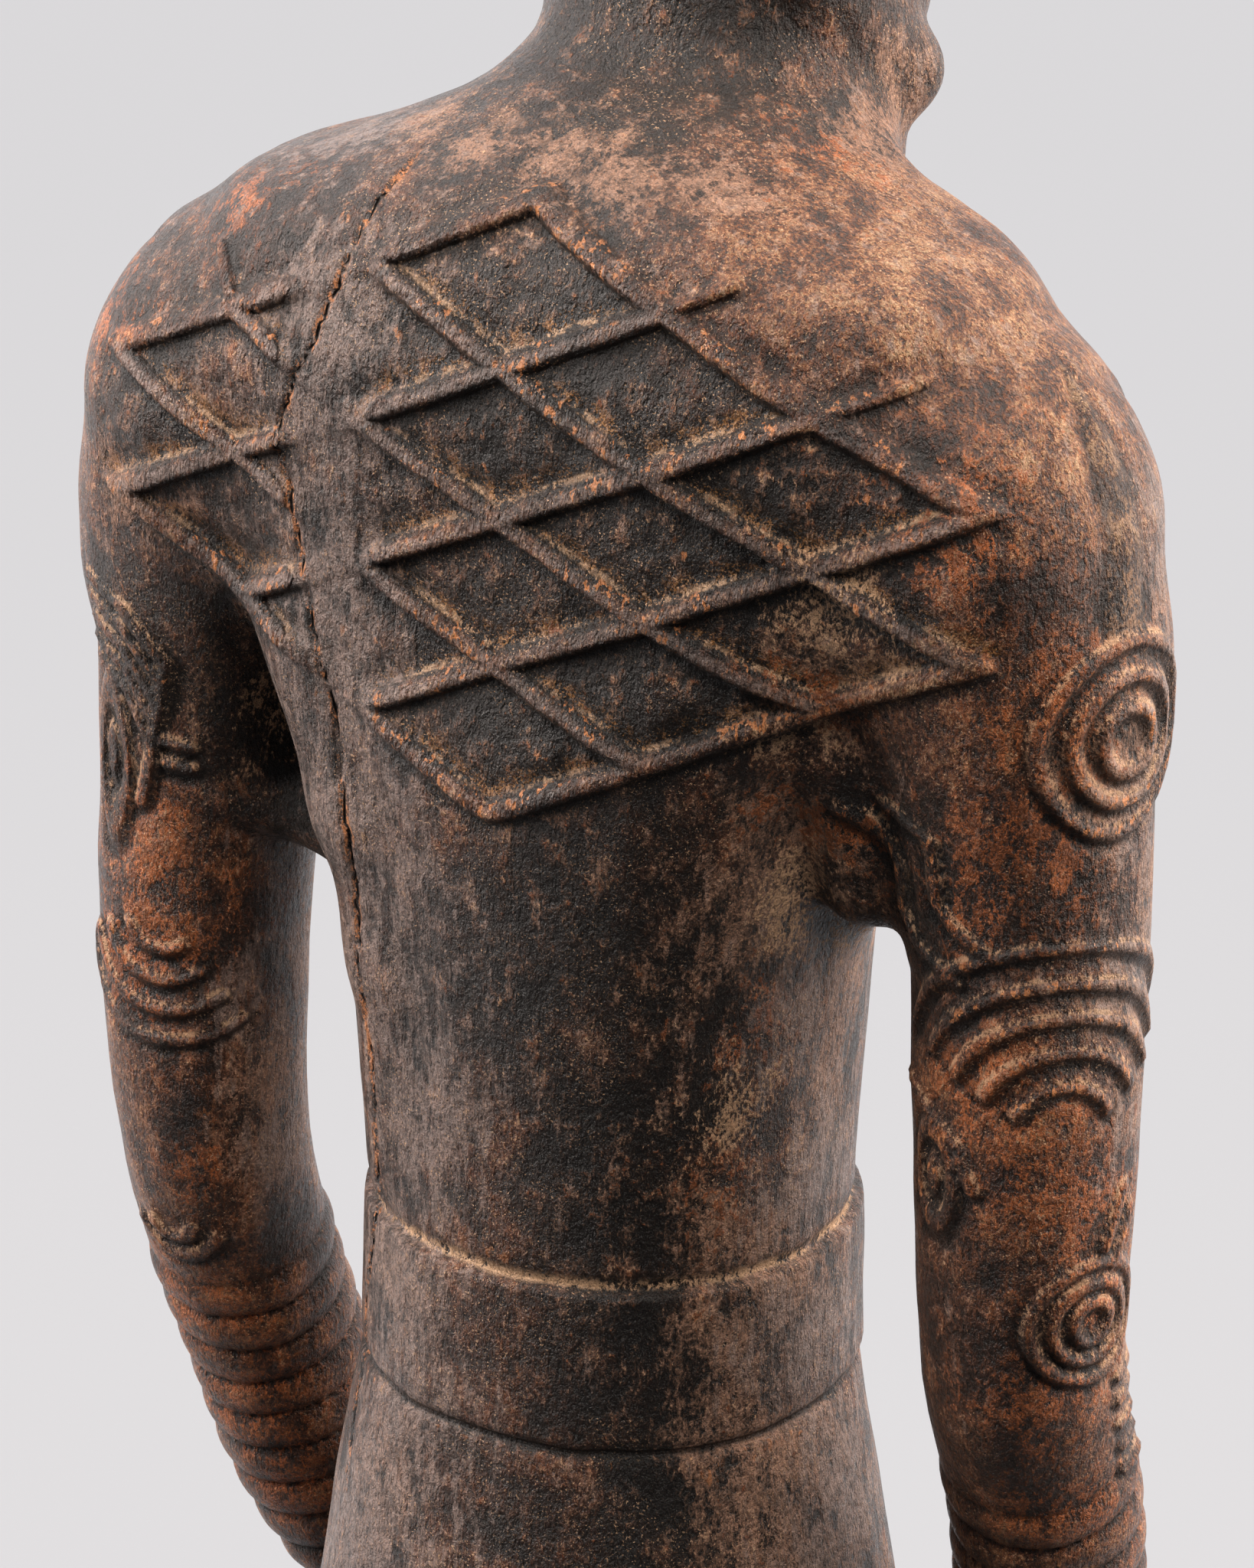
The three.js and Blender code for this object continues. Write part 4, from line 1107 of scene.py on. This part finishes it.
def settled_dust(w):
    """Pale dust by the arms' lines, in patches, hollows and grains, and on the belt."""
    by_mark = w.times(w.between(w.mark, 1.0, 1.4, 1.9, 2.5), w.step(w.mark_rise, -0.4, 0.5),
                      w.step(w.total(w.fuzz, (w.blotch, 0.8), (w.clump, 0.5)), -0.2, 0.5), 0.65)
    patches = w.times(w.step(w.total(w.dust, (w.blotch, 0.5), (w.fuzz, 0.8)), 0.65, 1.15), 0.75)
    nooks = w.times(w.step(w.value("hollow"), 0.45, 0.85), w.step(w.fuzz, 0.0, 0.4), 0.35)
    specks = w.times(w.step(w.grit, 0.5, 0.62), w.step(w.broad, -0.2, 0.3), 0.8)
    on_belt = w.times(w.between(w.belt, 33.8, 34.6, 34.9, 37.5),
                      w.step(w.total(w.fuzz, (w.broad, 1.5), (w.clump, 1.4)), -0.4, 0.4), 0.9)
    return w.most(by_mark, patches, nooks, specks, on_belt)


def cracked(w, colour):
    """The drying crack, with torn wood along it."""
    torn = w.times(w.fade(w.crack, 0.7, 1.3), w.step(w.total(w.fuzz, (w.blotch, 0.8)), 0.0, 0.4), 0.9)
    colour = w.mix(torn, colour, CHIPPED_WOOD)
    return w.mix(w.fade(w.crack, 0.36, 0.55), colour, BLACK)


def wood_bumps(w):
    """Unevenness too fine for the mesh, each kind with its depth in mm."""
    normal = None
    for height, depth in (
        (w.broad, 0.8),
        (w.streak, 0.2),
        (w.blotch, 0.4),
        (w.clump, 0.38),
        (w.fuzz, 0.2),
        (w.fibre, 0.08),
        (w.times(w.chatter, w.on_band), 0.25),
        (w.fade(w.line, 1.8, 2.7), 0.5),
        (w.fade(w.mark, 0.3, 1.5), 0.4),
        (w.step(w.crack, 0.1, 0.5), 0.6),
        (w.groove, -0.5),
    ):
        normal = w.bump(height, depth, normal)
    return normal


def wood_material():
    """Layer over layer, from the worn skin of the wood to the dust that settled last."""
    w = OldWood()
    # Pale dusty skin, with painted highlight where its spots lie on the right arm's outer side and the
    # left arm's inner side
    pale = w.total(w.value("pale"), (w.blotch, 0.6), (w.clump, 0.4), (w.streak, 0.4), (w.fuzz, 0.45))
    pale = w.step(pale, 0.15, 1.0)
    colour = w.mix(w.times(pale, 0.85), worn_skin(w), DUSTY_SKIN_AND_HIGHLIGHT)
    for layer in (crumbs_and_painted_rim, rubbed, grey_film_and_sheen, pores, chips, painted_shade_under_lines):
        colour = layer(w, colour)
    settled = settled_dust(w)
    colour = w.mix(settled, colour, PALE_DUST_AND_HIGHLIGHT)
    colour = w.mix(w.times(w.groove, 0.8), colour, BLACK)
    return w.finish("Principled BSDF", {
        "Base Color": cracked(w, colour),
        "Roughness": w.total(0.42, (w.tan, 0.15), (w.fuzz, 0.2), (settled, 0.25), (pale, 0.12)),
        "Specular IOR Level": 0.5,
        "Sheen Weight": 0.14,
        "Sheen Roughness": 0.45,
        "Sheen Tint": rgb(232, 205, 188),
        "Normal": wood_bumps(w),
    })


def paper_material():
    """Pale paper that is lit evenly all the way back."""
    n = Nodes(bpy.data.materials.new("pale_floor"))
    return n.finish("Principled BSDF", {
        "Base Color": rgb(56, 56, 57),
        "Roughness": 0.9,
        "Emission Color": rgb(255, 253, 255),
        "Emission Strength": 0.605,
        "Normal": n.bump(n.noise(3, 4, 0.5), 0.02, None),
    })


# The figure
skin = figure_mesh()
skin.name = "carved_figure"
carved = put_in("carved_figure", skin)
skin.materials.append(wood_material())
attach(carved, "root")
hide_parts("figure")


def paper(name, points, faces, material):
    """A sheet of the backdrop, which throws no light back on the figure."""
    mesh = bpy.data.meshes.new(name)
    mesh.from_pydata(points, [], faces)
    mesh.shade_smooth()
    mesh.materials.append(material)
    sheet = put_in(name, mesh)
    sheet.visible_diffuse = False
    sheet.visible_glossy = False
    return sheet


# The round wall far behind: where it leaves the floor, how far it bends up, and its height
WALL_FOOT = 6.5
WALL_BEND = 2.5
WALL_TOP = 9


def backdrop():
    """The floor, and a round wall that rises softly out of it."""
    material = paper_material()
    reach = WALL_FOOT + WALL_BEND
    corners = [(-reach, -reach, 0), (reach, -reach, 0), (reach, reach, 0), (-reach, reach, 0)]
    paper("floor", corners, [(0, 1, 2, 3)], material)
    bend = [math.radians(degrees) for degrees in range(0, 91, 10)]
    profile = [(WALL_FOOT + WALL_BEND * math.sin(a), WALL_BEND - WALL_BEND * math.cos(a)) for a in bend]
    profile.append((reach, WALL_TOP))
    around = [math.radians(degrees) for degrees in range(0, 360, 5)]
    points = [(r * math.cos(turn), r * math.sin(turn), z) for r, z in profile for turn in around]
    count = len(around)
    quads = []
    for first in range(0, len(points) - count, count):
        for i in range(count):
            beside = first + (i + 1) % count
            quads.append((first + i, beside, beside + count, first + i + count))
    wall = paper("wall", points, quads, material)
    wall.visible_shadow = False


backdrop()

# The camera: where it looks from, as turns about the upright and below the level
CAMERA_ROUND = math.radians(28.3)
CAMERA_DOWN = math.radians(23.0)
CAMERA_ROLL = math.radians(1.1)
CAMERA_DISTANCE = 1.065
# The photograph's lens and frame, in its pixels
FOCAL_PIXELS = 7100
SHIFT_PIXELS = 8
LONG_SIDE = 2048
SENSOR = 36
aim = Vector((0, SET_BACK, WAIST)) / 1000
ahead = Vector((math.sin(CAMERA_ROUND) * math.cos(CAMERA_DOWN),
                -math.cos(CAMERA_ROUND) * math.cos(CAMERA_DOWN), -math.sin(CAMERA_DOWN)))
level_right = Vector((-math.cos(CAMERA_ROUND), -math.sin(CAMERA_ROUND), 0))
level_up = level_right.cross(ahead)
right = level_right * math.cos(CAMERA_ROLL) + level_up * math.sin(CAMERA_ROLL)
up = level_up * math.cos(CAMERA_ROLL) - level_right * math.sin(CAMERA_ROLL)
camera_data = bpy.data.cameras.new("camera")
camera_data.lens = FOCAL_PIXELS * SENSOR / LONG_SIDE
camera_data.sensor_width = SENSOR
camera_data.shift_x = SHIFT_PIXELS / LONG_SIDE
camera_data.clip_end = 60
camera = put_in("camera", camera_data)
turned = Matrix((right, up, -ahead)).transposed().to_4x4()
camera.matrix_world = Matrix.Translation(aim - ahead * CAMERA_DISTANCE) @ turned
bpy.context.scene.camera = camera


def soft_light(name, offset, width, height, power, colour):
    """A soft box that faces the aim, offset from it to the camera's right, up and ahead."""
    data = bpy.data.lights.new(name, "AREA")
    data.shape = "RECTANGLE"
    data.size = width
    data.size_y = height
    data.energy = power
    data.color = colour
    lamp = put_in(name, data)
    position = aim + level_right * offset[0] + Vector((0, 0, 1)) * offset[1] + ahead * offset[2]
    lamp.location = position
    lamp.rotation_euler = (aim - position).to_track_quat("-Z", "Y").to_euler()
    lamp.visible_camera = False


soft_light("right_box", (0.95, 0.5, 0.15), 0.8, 1.2, 22, (1, 0.9, 0.82))
soft_light("left_box", (-0.9, 0.6, 0.2), 0.6, 1.2, 24, (1, 0.92, 0.87))
soft_light("top_box", (0.1, 1.3, -0.35), 1.0, 0.7, 7, (1, 0.92, 0.84))
soft_light("front_box", (0.25, 0.9, -0.95), 0.5, 0.5, 17, (1, 0.92, 0.84))

# The room: bright paper beyond the figure, dark behind the camera
room = Nodes(bpy.data.worlds.new("studio"))
beyond = (math.sin(CAMERA_ROUND), -math.cos(CAMERA_ROUND), 0.25)
towards = room.new("VectorMath", {0: room.places["Generated"], 1: beyond})
towards.operation = "DOT_PRODUCT"
brightness = room.new("MapRange", {
    "Value": towards.outputs["Value"],
    "From Min": -0.2,
    "From Max": 0.9,
    "To Min": 0.1,
    "To Max": 2.2,
})
bpy.context.scene.world = room.finish("Background", {
    "Color": rgb(236, 235, 238),
    "Strength": brightness.outputs["Result"],
})
bpy.context.scene.view_settings.view_transform = "Standard"
